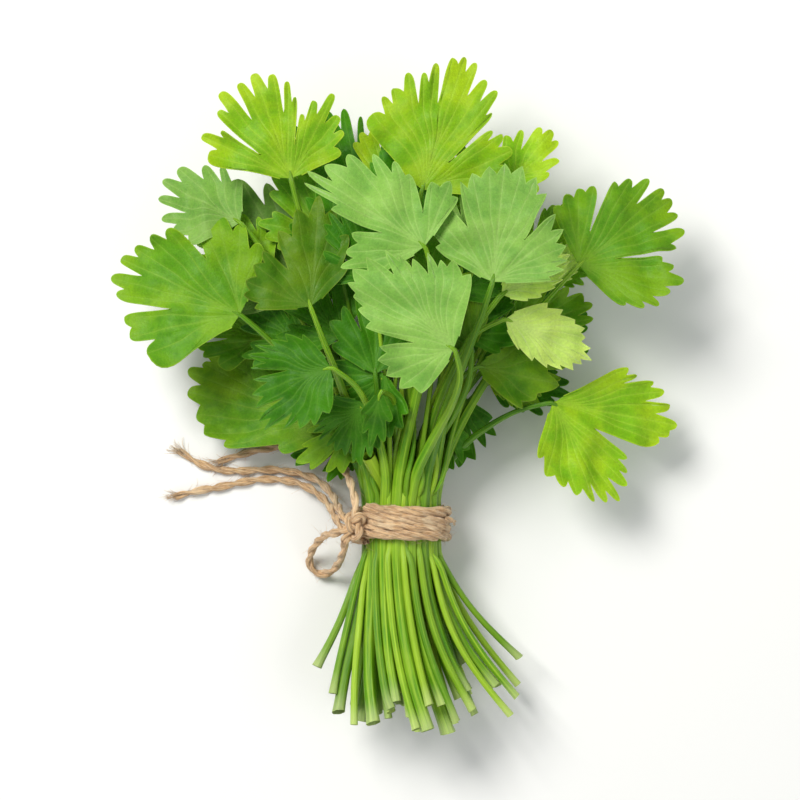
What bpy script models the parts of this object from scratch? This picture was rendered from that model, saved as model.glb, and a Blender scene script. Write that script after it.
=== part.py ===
"""A bunch of fresh coriander tied with jute twine, lying on its side.

Metres, +Z up. The bunch runs along Y: the cut stem ends are towards -Y and the leaf tips
towards +Y. It lies on the plane Z = 0, and its middle is over the origin.
Lengths in the tables are millimetres and angles are degrees; MM turns them into metres.
"""

import math
import random
from collections import namedtuple

import bmesh
import bpy
from mathutils import Matrix, Vector
from mathutils.kdtree import KDTree

MM = 0.001

# The neck, where the twine holds the stems.
NECK = Vector((2.2, -41.0, 16.2))
NECK_WIDE = 13.2
NECK_DEEP = 12.2
NECK_HALF_HEIGHT = 7.5
STEM_GAP = 0.5
STEM_STEP = 2.5

# A stem's place in the neck follows from where its leaf is: this share of the way to the leaf
# across, and this share of its height over a level just above the neck's middle.
SLOT_ACROSS = 0.19
SLOT_UP = 0.30
SLOT_LEVEL = 8.0
SLOT_ROUNDS = 600

# How the stems are eased apart: the rounds, the part of each push that is taken at once, and how
# many points of the close-set path make one of the finished stem.
PUSH_ROUNDS = 90
PUSH_SHARE = 0.7
STEPS_KEPT = 5

# How far beyond its straight part the neck still holds the stems in, and how far a stem stays off
# the table.
NECK_MARGIN = 1.5
TABLE_GAP = 0.1

# How stiffly a stem sets out from the neck and arrives at its leaf, and how it fans out.
STEM_TENSION = 0.85
STEM_FAN = 0.012
STEM_TAPER = 1.5

# The splay of the stems below the neck.
SPLAY_LENGTH = 60.0
SPLAY_SHIFT_X = 5.0
SPLAY_SHIFT_Z = 1.6
SPLAY_WIDE = 1.75
SPLAY_FLARE = 1.9
SPLAY_DEEP = 1.5
SPLAY_TWIST = 14.0
SPLAY_CURVE = 1.7

# Blades and the tips of the stems that carry them.
BLADE_THICK = 0.5
ROOT_RADIUS = 1.1
TIP_GAP = 0.6
TIP_RADIUS = 0.8
RAY_ROWS = 2

# A lobe's edge: its teeth, how much lower the outer ones are, how high their shoulders and the
# notches between them are, and how even they are. Then the cuts between lobes and the margins.
TEETH = 3
TOOTH_DROP = 0.16
TOOTH_SHOULDER = 0.94
TOOTH_FLAT = 0.6
TOOTH_RANGE = (0.95, 1.03)
NOTCH_RANGE = (0.72, 0.80)
CUT_RANGE = (0.40, 0.50)
MARGIN_OUT = 1.06
MARGIN_REACH = 0.50

# Veins keep near the middle of their lobe at first, and the blade ripples towards its edge.
VEIN_PULL = 0.45
RIPPLE = 1.3
RIPPLE_WAVES = 3.1

# The twine.
TWINE = 3.0
PLY = 2.6
TURNS = 2.9
TURN_PITCH = 3.32
WRAP_GAP = 0.45
KNOT_ANGLE = 138.0
KNOT_RADII = (2.7, 5.4, 2.7)
STEPS_A_TURN = 18

LEAF_GREENS = {
    "soft": (0.25, 0.45, 0.12),
    "mid": (0.17, 0.42, 0.05),
    "lime": (0.34, 0.58, 0.03),
    "deep": (0.05, 0.21, 0.02),
    "pale": (0.47, 0.64, 0.21),
}
LEAF_ROUGHNESS = 0.5
STEM_GREEN = (0.29, 0.50, 0.08)
STEM_ROUGHNESS = 0.4
JUTE = (0.47, 0.32, 0.19)
JUTE_ROUGHNESS = 0.9

# A blade's lobes, from its right to its left as seen from its stem: the way each points against the
# blade's heading, how far it reaches as a share of the blade's size, and half its opening angle.
EVEN = ((-48, 0.78, 22), (0, 1.0, 22), (48, 0.80, 22))
NARROW = ((-28, 0.82, 13), (0, 1.0, 13), (28, 0.86, 13))

# tone: its colour. base: where the blade leaves its stem. heading: the way the blade points,
# anticlockwise from +X. pitch: tip up. roll: left edge up. size: base to tip. bend: how far the
# blade droops over its length. cup: how far its sides rise. below: how far past the neck its
# stem is cut. thick: the stem's diameter. seed: its outline.
Leaf = namedtuple("Leaf", "name tone base heading pitch roll size lobes bend cup below thick seed")

LEAVES = (
    Leaf("front_centre", "soft", (18.7, 15.8, 66), 156, 4, -6, 41,
         ((-50, 0.68, 23), (-4, 1.0, 21), (44, 0.66, 25)), 20, -14, 58, 4.0, 8),
    Leaf("upper_centre", "soft", (9.7, 48, 59), 140, -2, 6, 44,
         ((-36, 0.66, 16), (0, 1.0, 17), (38, 0.72, 19)), 16, 10, 66, 4.2, 7),
    Leaf("upper_right", "soft", (31, 36.8, 60), 78, -5, -6, 40,
         ((-40, 0.74, 17), (0, 1.0, 20), (40, 0.85, 17)), 11, -12, 54, 4.0, 11),
    Leaf("front_left", "deep", (-20, 10, 51), 196, -8, 8, 29,
         ((-38, 0.74, 17), (0, 1.0, 18), (38, 0.94, 18)), 22, 14, 57, 3.2, 5),
    Leaf("mid_left", "mid", (-26.5, 29.4, 49), 108, -2, 10, 36,
         ((-34, 1.0, 16), (4, 0.86, 19), (46, 0.64, 20)), 14, 12, 64, 3.6, 6),
    Leaf("crown", "lime", (9, 67, 44), 66, 2, -4, 46,
         ((-42, 0.74, 20), (2, 1.0, 21), (46, 0.72, 18)), 10, 8, 68, 4.0, 9),
    Leaf("top_left", "lime", (-33, 70.6, 42), 98, 3, 6, 36,
         ((-47, 0.72, 20), (0, 1.0, 22), (46, 0.92, 20)), 10, 10, 62, 3.6, 1),
    Leaf("left_shoulder", "soft", (-49.7, 57, 35), 148, -6, 6, 30, NARROW, 12, 8, 38, 3.2, 2),
    Leaf("far_left", "mid", (-49.6, 27.2, 38), 158, -4, 4, 46,
         ((-56, 0.70, 20), (-5, 0.98, 21), (36, 0.80, 17)), 16, 16, 61, 3.8, 3),
    Leaf("far_right", "mid", (59.4, 43.2, 37), 36, -4, -6, 39,
         ((-50, 0.76, 22), (3, 1.0, 21), (60, 0.68, 20)), 14, 10, 53, 3.6, 12),
    Leaf("right_shoulder", "lime", (35.2, 66.8, 40), 50, 0, -6, 25, NARROW, 12, 8, 57, 3.0, 10),
    Leaf("right_mid", "pale", (35.6, 25.6, 45), -23, -10, -8, 31,
         ((-30, 0.82, 15), (0, 1.0, 15), (30, 0.72, 15)), 16, 10, 53, 3.4, 13),
    Leaf("right_edge", "pale", (34.2, 33.2, 51), 32, -8, -4, 25, NARROW, 14, 8, 57, 3.0, 16),
    Leaf("low_left", "mid", (-19.2, -11.0, 16.6), 162, -5, 4, 50,
         ((-34, 0.78, 12), (-6, 1.0, 12), (18, 0.90, 10)), 14, 10, 58, 3.8, 4),
    Leaf("right_fold", "mid", (27.0, 10.6, 34), -10, -8, -6, 28,
         ((-22, 0.80, 11), (2, 1.0, 12), (26, 0.85, 11)), 12, 14, 56, 3.2, 14),
    Leaf("low_right", "lime", (51.6, -1.2, 28), -34, -8, -6, 42,
         ((-35, 0.82, 32), (33, 1.0, 19)), 16, 8, 47, 3.4, 15),
    Leaf("back_left", "soft", (-28, 34, 27.5), 122, 0, 4, 43,
         ((-28, 0.72, 14), (2, 1.0, 15), (34, 0.84, 15)), 8, 10, 65, 3.6, 17),
    Leaf("inner_right", "mid", (25, 16, 39.5), 118, -4, -4, 24, NARROW, 14, 8, 60, 3.0, 22),
    Leaf("young_front", "deep", (-4.5, 2, 48), -98, -16, 0, 19,
         ((-16, 0.85, 8), (0, 1.0, 8), (16, 0.80, 8)), 20, 30, 54, 2.8, 18),
    Leaf("hidden_centre", "deep", (-6, 8, 41), 92, -5, 2, 31, NARROW, 10, 8, 59, 3.4, 20),
    Leaf("hanging_right", "deep", (21, 1, 17), -86, -14, -6, 25, NARROW, 14, 8, 49, 3.0, 19),
    Leaf("crown_behind", "lime", (-1, 66, 35), 114, -2, 4, 22, NARROW, 10, 8, 63, 3.2, 23),
    Leaf("under_centre", "deep", (8, 32, 0.25), 78, 0, 0, 42, EVEN, 0, 0, 61, 3.6, 24),
    Leaf("under_left", "deep", (-27, 25, 6), 134, -3, 4, 40, EVEN, 6, 8, 57, 3.6, 25),
    Leaf("under_right", "deep", (27, 15, 7), 20, -3, -4, 40, EVEN, 6, 8, 62, 3.6, 26),
    Leaf("under_crown", "deep", (-10, 60, 17), 98, -4, 3, 38, EVEN, 12, 8, 64, 3.4, 27),
)

# A stem that was snapped off just above the twine, pale where it broke. Its place in the neck is
# that of a leaf this many times as far away.
STUB_END = (-7.0, -19.0, 33.0)
STUB_BELOW = 55.0
STUB_THICK = 4.2
STUB_REACH = 4

# The twine's loose plies, from the knot to their cut ends, which lie on the table. Their tubes have
# a ring of points every few diameters.
TAIL_STEP = 2.5
TAILS = {
    "twine_tail_long": (
        (-16.3, -42.6, 27.4), (-18.0, -40.6, 24.2), (-19.6, -38.2, 18.5), (-21.8, -34.8, 12.0),
        (-25.6, -31.4, 6.5), (-30.2, -28.8, 3.2), (-36.0, -27.2, 1.7), (-44.0, -26.8, 1.4),
        (-51.3, -27.9, 1.4), (-58.0, -29.4, 1.4), (-66.0, -30.8, 1.4), (-73.3, -32.6, 1.4),
    ),
    "twine_tail_forked": (
        (-16.2, -38.6, 27.8), (-17.6, -36.6, 23.2), (-19.0, -34.2, 17.2), (-21.0, -31.0, 11.2),
        (-25.0, -27.4, 6.2), (-30.5, -25.2, 3.0), (-37.0, -23.9, 1.6), (-44.5, -23.6, 1.4),
        (-51.5, -24.0, 1.4), (-58.5, -23.6, 1.4), (-65.5, -21.4, 1.4), (-72.0, -17.4, 1.4),
    ),
    "twine_tail_upper": (
        (-12.6, -34.0, 28.8), (-13.4, -29.5, 26.7), (-15.6, -24.2, 19.2), (-18.8, -19.6, 10.2),
        (-23.5, -16.6, 4.7), (-30.0, -15.4, 2.0), (-38.0, -15.8, 1.4), (-46.0, -17.2, 1.4),
        (-53.0, -19.0, 1.4), (-59.0, -21.0, 1.4),
    ),
    "twine_loop": (
        (-15.9, -45.9, 26.4), (-16.4, -48.9, 22.6), (-17.4, -52.0, 17.0), (-19.2, -55.4, 10.4),
        (-21.8, -57.8, 4.9), (-25.2, -58.4, 2.0), (-28.0, -56.2, 1.9), (-28.2, -52.4, 4.2),
        (-26.6, -48.9, 9.0), (-24.2, -46.0, 15.0), (-21.7, -44.2, 20.4), (-19.2, -43.6, 25.0),
    ),
}


def clear_scene():
    for thing in list(bpy.data.objects):
        bpy.data.objects.remove(thing, do_unlink=True)


def material(name, colour, roughness):
    made = bpy.data.materials.new(name)
    made.use_nodes = True
    shader = made.node_tree.nodes["Principled BSDF"]
    shader.inputs["Base Color"].default_value = (*colour, 1.0)
    shader.inputs["Roughness"].default_value = roughness
    shader.inputs["Metallic"].default_value = 0.0
    made.diffuse_color = (*colour, 1.0)
    return made


def place(name, data, finish):
    """Puts a mesh or curve in the bunch's collection as a named piece."""
    piece = bpy.data.objects.new(name, data)
    data.materials.append(finish)
    BUNCH.objects.link(piece)
    return piece


def heading_vector(heading, pitch=0.0):
    across = math.cos(math.radians(pitch))
    turn = math.radians(heading)
    return Vector((across * math.cos(turn), across * math.sin(turn), math.sin(math.radians(pitch))))


def tube(name, points, radii, finish, sides_resolution=2):
    """A round stem or cord along points in millimetres, with flat closed ends."""
    curve = bpy.data.curves.new(name, "CURVE")
    curve.dimensions = "3D"
    curve.bevel_depth = MM
    curve.bevel_resolution = sides_resolution
    curve.use_fill_caps = True
    line = curve.splines.new("POLY")
    line.points.add(len(points) - 1)
    for knot, point, radius in zip(line.points, points, radii):
        knot.co = (*(Vector(point) * MM), 1.0)
        knot.radius = radius
    return place(name, curve, finish)


def smooth_through(points, step):
    """Points about step apart on a smooth curve through the given ones (Catmull-Rom)."""
    known = [Vector(p) for p in points]
    ends = [2 * known[0] - known[1], *known, 2 * known[-1] - known[-2]]
    made = []
    for a, b, c, d in zip(ends, ends[1:], ends[2:], ends[3:]):
        count = max(1, round((c - b).length / step))
        for i in range(count):
            t = i / count
            made.append(
                0.5 * (2 * b + (c - a) * t + (2 * a - 5 * b + 4 * c - d) * t**2
                       + (3 * b - a - 3 * c + d) * t**3)
            )
    return [*made, known[-1]]


# ---------------------------------------------------------------- blades


def outline(leaf):
    """The blade's edge as (angle from its heading in radians, distance from its base), from its
    right margin round to its left: each lobe ends in teeth, and a deep cut parts it from the next."""
    chance = random.Random(leaf.seed)
    edge = []
    for lobe, (way, reach, half) in enumerate(leaf.lobes):
        if lobe:
            last_way, last_reach, last_half = leaf.lobes[lobe - 1]
            gap_middle = (last_way + last_half + way - half) / 2
            edge.append((gap_middle, chance.uniform(*CUT_RANGE) * min(reach, last_reach)))
        else:
            edge.append((way - MARGIN_OUT * half, MARGIN_REACH * reach))
        for tooth in range(TEETH):
            off = (2 * tooth + 1) / TEETH - 1
            tip = reach * (1 - TOOTH_DROP * off * off) * chance.uniform(*TOOTH_RANGE)
            width = half / TEETH
            middle = way + off * half
            shoulder = TOOTH_FLAT * width
            edge.append((middle - shoulder, TOOTH_SHOULDER * tip))
            edge.append((middle, tip))
            edge.append((middle + shoulder, TOOTH_SHOULDER * tip))
            if tooth < TEETH - 1:
                edge.append((middle + width, tip * chance.uniform(*NOTCH_RANGE)))
    edge.append((way + MARGIN_OUT * half, MARGIN_REACH * reach))
    return [(math.radians(angle), radius * leaf.size) for angle, radius in edge]


def lobe_pull(angle, leaf):
    """The way a vein to that angle sets out: it keeps near the middle vein of its lobe first."""
    way, _, half = min(leaf.lobes, key=lambda lobe: abs(math.radians(lobe[0]) - angle) / lobe[2])
    off = (angle - math.radians(way)) / math.radians(half)
    return math.radians(way) + (angle - math.radians(way)) * min(1.0, VEIN_PULL + (1 - VEIN_PULL) * off**2)


def blade_point(leaf, angle, radius, along):
    """A point of the flat blade, on the curved ray from its base (along 0) to its edge (1)."""
    set_out = lobe_pull(angle, leaf)
    root = Vector((math.cos(set_out), math.sin(set_out))) * ROOT_RADIUS
    middle = Vector((math.cos(set_out), math.sin(set_out))) * radius * 0.5
    tip = Vector((math.cos(angle), math.sin(angle))) * radius
    return (1 - along) ** 2 * root + 2 * along * (1 - along) * middle + along**2 * tip


def curled(leaf, flat):
    """The flat point bent over along the blade, cupped across it, and rippled towards its edge."""
    x, y = flat
    z = 0.0
    if leaf.cup:
        rise = math.radians(leaf.cup) / leaf.size
        z += (1 - math.cos(rise * y)) / rise
        y = math.sin(rise * y) / rise
    if leaf.bend:
        droop = math.radians(leaf.bend) / leaf.size
        outward = (1 / droop) + z
        x, z = outward * math.sin(droop * x), outward * math.cos(droop * x) - 1 / droop
        reach = flat.length / leaf.size
        z += RIPPLE * reach**2 * math.sin(RIPPLE_WAVES * math.atan2(flat.y, flat.x) + leaf.seed)
    return Vector((x, y, z))


def blade_matrix(leaf):
    return (
        Matrix.Translation(Vector(leaf.base))
        @ Matrix.Rotation(math.radians(leaf.heading), 4, "Z")
        @ Matrix.Rotation(-math.radians(leaf.pitch), 4, "Y")
        @ Matrix.Rotation(math.radians(leaf.roll), 4, "X")
    )


def blade(leaf):
    """The leaf blade: a grid wrapped into the lobed outline and given its thickness."""
    edge = outline(leaf)
    columns = len(edge) - 1
    shape = bmesh.new()
    bmesh.ops.create_grid(shape, x_segments=columns, y_segments=RAY_ROWS, size=0.5)
    to_place = blade_matrix(leaf)
    for vertex in shape.verts:
        angle, radius = edge[round((vertex.co.x + 0.5) * columns)]
        flat = blade_point(leaf, angle, radius, vertex.co.y + 0.5)
        vertex.co = (to_place @ curled(leaf, flat)) * MM
    bmesh.ops.recalc_face_normals(shape, faces=shape.faces)
    mesh = bpy.data.meshes.new("leaf_" + leaf.name)
    shape.to_mesh(mesh)
    shape.free()
    piece = place("leaf_" + leaf.name, mesh, LEAF_FINISHES[leaf.tone])
    shell = piece.modifiers.new("thickness", "SOLIDIFY")
    shell.thickness = BLADE_THICK * MM
    shell.offset = 0.0
    shell.use_even_offset = False
    return piece


# ---------------------------------------------------------------- stems


def neck_slots(targets, diameters):
    """Where each stem passes the neck, as (across, up) from its middle. Each starts on the side
    that its leaf is on, and all are then pushed apart until none touch."""
    slots = []
    for target in targets:
        way = Vector(target) - NECK
        slots.append(Vector((SLOT_ACROSS * way.x, SLOT_UP * (way.z - SLOT_LEVEL))))
    for _ in range(SLOT_ROUNDS):
        for i, a in enumerate(slots):
            for j in range(i):
                b = slots[j]
                apart = a - b
                least = (diameters[i] + diameters[j]) / 2 + STEM_GAP
                if apart.length < least:
                    way = apart.normalized() if apart.length > 1e-6 else Vector((1.0, 0.0))
                    push = way * (least - apart.length) * 0.5
                    a += push
                    b -= push
        for slot, diameter in zip(slots, diameters):
            wide, deep = NECK_WIDE - diameter / 2, NECK_DEEP - diameter / 2
            outside = math.hypot(slot.x / wide, slot.y / deep)
            if outside > 1.0:
                slot /= outside
    return slots


def below_neck(slot, distance):
    """A stem's place at that distance below the neck: the bunch opens, turns a little and flares."""
    share = max(0.0, (distance - NECK_HALF_HEIGHT) / (SPLAY_LENGTH - NECK_HALF_HEIGHT))
    opened = share**SPLAY_CURVE
    turn = math.radians(SPLAY_TWIST) * opened
    across = slot.x * math.cos(turn) + slot.y * math.sin(turn)
    up = slot.y * math.cos(turn) - slot.x * math.sin(turn)
    flare = SPLAY_WIDE - 1 + SPLAY_FLARE * abs(across / NECK_WIDE) ** 3
    return Vector((
        NECK.x + SPLAY_SHIFT_X * opened + across * (1 + flare * opened),
        NECK.y - distance,
        NECK.z + SPLAY_SHIFT_Z * opened + up * (1 + (SPLAY_DEEP - 1) * opened),
    ))


def above_neck(slot, end, arrive):
    """A stem from the top of the neck to its end, leaving along +Y and arriving along arrive."""
    start = Vector((NECK.x + slot.x, NECK.y + NECK_HALF_HEIGHT, NECK.z + slot.y))
    far = (end - start).length
    leave = Vector((STEM_FAN * slot.x, 1.0, STEM_FAN * slot.y)) * far * STEM_TENSION
    reach = arrive * far * STEM_TENSION
    count = round(far / STEM_STEP)
    made = []
    for i in range(1, count + 1):
        t = i / count
        made.append(
            (2 * t**3 - 3 * t**2 + 1) * start + (t**3 - 2 * t**2 + t) * leave
            + (3 * t**2 - 2 * t**3) * end + (t**3 - t**2) * reach
        )
    return made


def stem_path(slot, below, end, arrive):
    """A stem's middle line from its cut end, through the neck, to its leaf."""
    count = round((below + NECK_HALF_HEIGHT) / STEM_STEP)
    down = [
        below_neck(slot, below - (below + NECK_HALF_HEIGHT) * k / count) for k in range(count + 1)
    ]
    return [*down, *above_neck(slot, end, arrive)]


def kept_clear(point, radius):
    """The point, moved back inside the twine if it is in the neck, and never below the table."""
    if abs(point.y - NECK.y) < NECK_HALF_HEIGHT + NECK_MARGIN:
        across, up = point.x - NECK.x, point.z - NECK.z
        outside = math.hypot(across / (NECK_WIDE - radius), up / (NECK_DEEP - radius))
        if outside > 1.0:
            return Vector((NECK.x + across / outside, point.y, NECK.z + up / outside))
    return Vector((point.x, point.y, max(point.z, radius + TABLE_GAP)))


def push_apart(paths, radii, held):
    """Moves the middle lines until no two stems touch. Each push is spread along its stem, so a
    stem bends smoothly round its neighbours. The upper ends of the first held stay where they are."""
    widest = 2 * max(radii) + STEM_GAP
    shift = [[Vector() for _ in path] for path in paths]
    for _ in range(PUSH_ROUNDS):
        spots = [(i, k, p + shift[i][k]) for i, path in enumerate(paths) for k, p in enumerate(path)]
        tree = KDTree(len(spots))
        for index, (_, _, spot) in enumerate(spots):
            tree.insert(spot, index)
        tree.balance()
        for i, k, spot in spots:
            push = Vector()
            for other, index, distance in tree.find_range(spot, widest):
                j = spots[index][0]
                least = radii[i] + radii[j] + STEM_GAP
                if j != i and 1e-6 < distance < least:
                    push += (spot - other) * (0.5 * (least - distance) / distance)
            shift[i][k] += push * PUSH_SHARE
        for moved in shift[:held]:
            moved[-1] = Vector()
        for i, moved in enumerate(shift):
            eased = [
                0.5 * moved[k] + 0.25 * (moved[max(k - 1, 0)] + moved[min(k + 1, len(moved) - 1)])
                for k in range(len(moved))
            ]
            shift[i] = [kept_clear(p + m, radii[i]) - p for p, m in zip(paths[i], eased)]
        for moved in shift[:held]:
            moved[-1] = Vector()
    return [[p + m for p, m in zip(path, moved)] for path, moved in zip(paths, shift)]


def thinned(path):
    """Few enough points of a path for a tube, with both its ends."""
    count = round((len(path) - 1) / STEPS_KEPT)
    return [path[round(i * (len(path) - 1) / count)] for i in range(count + 1)]


def stems():
    bases = [Vector(leaf.base) for leaf in LEAVES]
    diameters = [leaf.thick for leaf in LEAVES] + [STUB_THICK]
    stub_end = Vector(STUB_END)
    stub_aim = NECK + STUB_REACH * (stub_end - NECK)
    slots = neck_slots([*bases, stub_aim], diameters)
    paths = []
    for leaf, base, slot in zip(LEAVES, bases, slots):
        straight = (base - NECK).normalized()
        arrive = (straight + heading_vector(leaf.heading, leaf.pitch)).normalized()
        end = base - arrive * TIP_GAP
        end.z = max(end.z, TIP_RADIUS + TABLE_GAP)
        paths.append(stem_path(slot, leaf.below, end, arrive))
    paths.append(stem_path(slots[-1], STUB_BELOW, stub_end, (stub_end - NECK).normalized()))
    paths = push_apart(paths, [diameter / 2 for diameter in diameters], len(LEAVES))
    names = [leaf.name for leaf in LEAVES] + ["snapped"]
    for name, path, thick in zip(names, paths, diameters):
        tip = thick / 2 if name == "snapped" else TIP_RADIUS
        points = thinned(path)
        radii = []
        for point in points:
            along = max(0.0, (point.y - NECK.y) / (path[-1].y - NECK.y))
            radii.append(thick / 2 + (tip - thick / 2) * along**STEM_TAPER)
        radii[-1] = tip
        tube("stem_" + name, points, radii, STEM_FINISH)


# ---------------------------------------------------------------- twine


def twine_wraps():
    """The turns that hold the bunch, one helix round the neck."""
    count = round(TURNS * STEPS_A_TURN)
    points = []
    for i in range(count + 1):
        turn = i / STEPS_A_TURN
        angle = math.radians(KNOT_ANGLE) + 2 * math.pi * turn
        points.append((
            NECK.x + (NECK_WIDE + TWINE / 2 + WRAP_GAP) * math.cos(angle),
            NECK.y + TURN_PITCH * (turn - TURNS / 2),
            NECK.z + (NECK_DEEP + TWINE / 2 + WRAP_GAP) * math.sin(angle),
        ))
    tube("twine_wraps", points, [TWINE / 2] * len(points), TWINE_FINISH)


def twine_knot():
    """The knot, a lump of twine on the upper left of the neck."""
    angle = math.radians(KNOT_ANGLE)
    reach = TWINE + KNOT_RADII[0] + 2 * WRAP_GAP
    middle = Vector((
        NECK.x + (NECK_WIDE + reach) * math.cos(angle),
        NECK.y,
        NECK.z + (NECK_DEEP + reach) * math.sin(angle),
    ))
    shape = bmesh.new()
    bmesh.ops.create_uvsphere(shape, u_segments=12, v_segments=8, radius=1.0)
    bmesh.ops.scale(shape, vec=Vector(KNOT_RADII) * MM, verts=shape.verts)
    bmesh.ops.translate(shape, vec=middle * MM, verts=shape.verts)
    mesh = bpy.data.meshes.new("twine_knot")
    shape.to_mesh(mesh)
    shape.free()
    mesh.shade_smooth()
    place("twine_knot", mesh, TWINE_FINISH)


def loose_twine():
    for name, route in TAILS.items():
        points = smooth_through(route, TAIL_STEP * PLY)
        tube(name, points, [PLY / 2] * len(points), TWINE_FINISH)


clear_scene()
BUNCH = bpy.data.collections.new("coriander_bunch")
bpy.context.scene.collection.children.link(BUNCH)
LEAF_FINISHES = {
    tone: material("leaf_" + tone, green, LEAF_ROUGHNESS) for tone, green in LEAF_GREENS.items()
}
STEM_FINISH = material("stem", STEM_GREEN, STEM_ROUGHNESS)
TWINE_FINISH = material("twine", JUTE, JUTE_ROUGHNESS)

for each in LEAVES:
    blade(each)
stems()
twine_wraps()
twine_knot()
loose_twine()
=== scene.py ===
"""The finished look of a bunch of fresh coriander that lies on its side, tied with jute twine.

Metres, +Z up. The bunch runs along Y, with the cut ends of its stems towards -Y.
Tables give lengths in millimetres and angles in degrees, and MM turns them into metres.
"""

import math
import random
from collections import namedtuple

import bmesh
import bpy
import numpy as np
from bpy.props import FloatProperty, FloatVectorProperty, IntProperty, PointerProperty
from mathutils import Matrix, Vector


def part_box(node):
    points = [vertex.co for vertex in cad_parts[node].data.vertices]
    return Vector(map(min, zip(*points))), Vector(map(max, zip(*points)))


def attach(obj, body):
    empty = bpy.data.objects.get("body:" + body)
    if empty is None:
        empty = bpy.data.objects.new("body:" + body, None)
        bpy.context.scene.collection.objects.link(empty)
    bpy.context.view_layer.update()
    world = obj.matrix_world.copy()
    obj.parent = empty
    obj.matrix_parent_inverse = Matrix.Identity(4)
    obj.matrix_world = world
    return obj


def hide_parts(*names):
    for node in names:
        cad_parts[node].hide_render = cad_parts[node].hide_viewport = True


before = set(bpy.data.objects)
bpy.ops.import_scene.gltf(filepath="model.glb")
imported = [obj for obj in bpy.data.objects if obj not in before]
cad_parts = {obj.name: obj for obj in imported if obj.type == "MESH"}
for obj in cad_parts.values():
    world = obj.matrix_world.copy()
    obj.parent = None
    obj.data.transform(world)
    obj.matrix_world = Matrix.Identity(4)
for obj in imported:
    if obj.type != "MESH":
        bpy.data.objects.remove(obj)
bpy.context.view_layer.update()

bl_info = {
    "name": "Coriander Bunch",
    "version": (1, 0, 0),
    "blender": (4, 5, 0),
    "location": "3D View > Sidebar > Coriander",
    "description": "Builds the leaves, stems, twine and studio of a tied coriander bunch",
    "category": "Object",
}

MM = 0.001
TABLE_TOP = 0.00012

# The neck, where the twine holds the stems, and how the stems splay below it.
NECK = Vector((2.2, -41.0, 16.2))
NECK_WIDE = 13.2
NECK_DEEP = 12.2
NECK_HALF_HEIGHT = 7.5
SPLAY_LENGTH = 60.0
SPLAY_SHIFT = (5.0, 1.6)
SPLAY_WIDE = 1.75
SPLAY_FLARE = 1.9
SPLAY_DEEP = 1.5
SPLAY_TWIST = 14.0
SPLAY_CURVE = 1.7

# The twine's turns round the neck.
TWINE = 3.0
PLY = 2.6
TURNS = 2.9
TURN_PITCH = 3.32
WRAP_GAP = 0.45
KNOT_ANGLE = 138.0
FRAY_HAIRS = 34

# The routes of the loose ends of the twine, from the knot outwards.
TAILS = {
    "twine_tail_long": (
        (-16.3, -42.6, 27.4), (-18.0, -40.6, 24.2), (-19.6, -38.2, 18.5), (-21.8, -34.8, 12.0),
        (-25.6, -31.4, 6.5), (-30.2, -28.8, 3.2), (-36.0, -27.2, 1.7), (-44.0, -26.8, 1.4),
        (-51.3, -27.9, 1.4), (-58.0, -29.4, 1.4), (-66.0, -30.8, 1.4), (-73.3, -32.6, 1.4),
    ),
    "twine_tail_forked": (
        (-16.2, -38.6, 27.8), (-17.6, -36.6, 23.2), (-19.0, -34.2, 17.2), (-21.0, -31.0, 11.2),
        (-25.0, -27.4, 6.2), (-30.5, -25.2, 3.0), (-37.0, -23.9, 1.6), (-44.5, -23.6, 1.4),
        (-51.5, -24.0, 1.4), (-58.5, -23.6, 1.4), (-65.5, -21.4, 1.4), (-72.0, -17.4, 1.4),
    ),
    "twine_tail_upper": (
        (-12.6, -34.0, 28.8), (-13.4, -29.5, 26.7), (-15.6, -24.2, 19.2), (-18.8, -19.6, 10.2),
        (-23.5, -16.6, 4.7), (-30.0, -15.4, 2.0), (-38.0, -15.8, 1.4), (-46.0, -17.2, 1.4),
        (-53.0, -19.0, 1.4), (-59.0, -21.0, 1.4),
    ),
    "twine_loop": (
        (-15.9, -45.9, 26.4), (-16.4, -48.9, 22.6), (-17.4, -52.0, 17.0), (-19.2, -55.4, 10.4),
        (-21.8, -57.8, 4.9), (-25.2, -58.4, 2.0), (-28.0, -56.2, 1.9), (-28.2, -52.4, 4.2),
        (-26.6, -48.9, 9.0), (-24.2, -46.0, 15.0), (-21.7, -44.2, 20.4), (-19.2, -43.6, 25.0),
    ),
}

# The route of the nub where the twine's last turn ends, over the bunch.
NUB = ((16.2, -39.2, 24.0), (18.2, -39.6, 22.8), (20.0, -40.6, 20.8))

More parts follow.
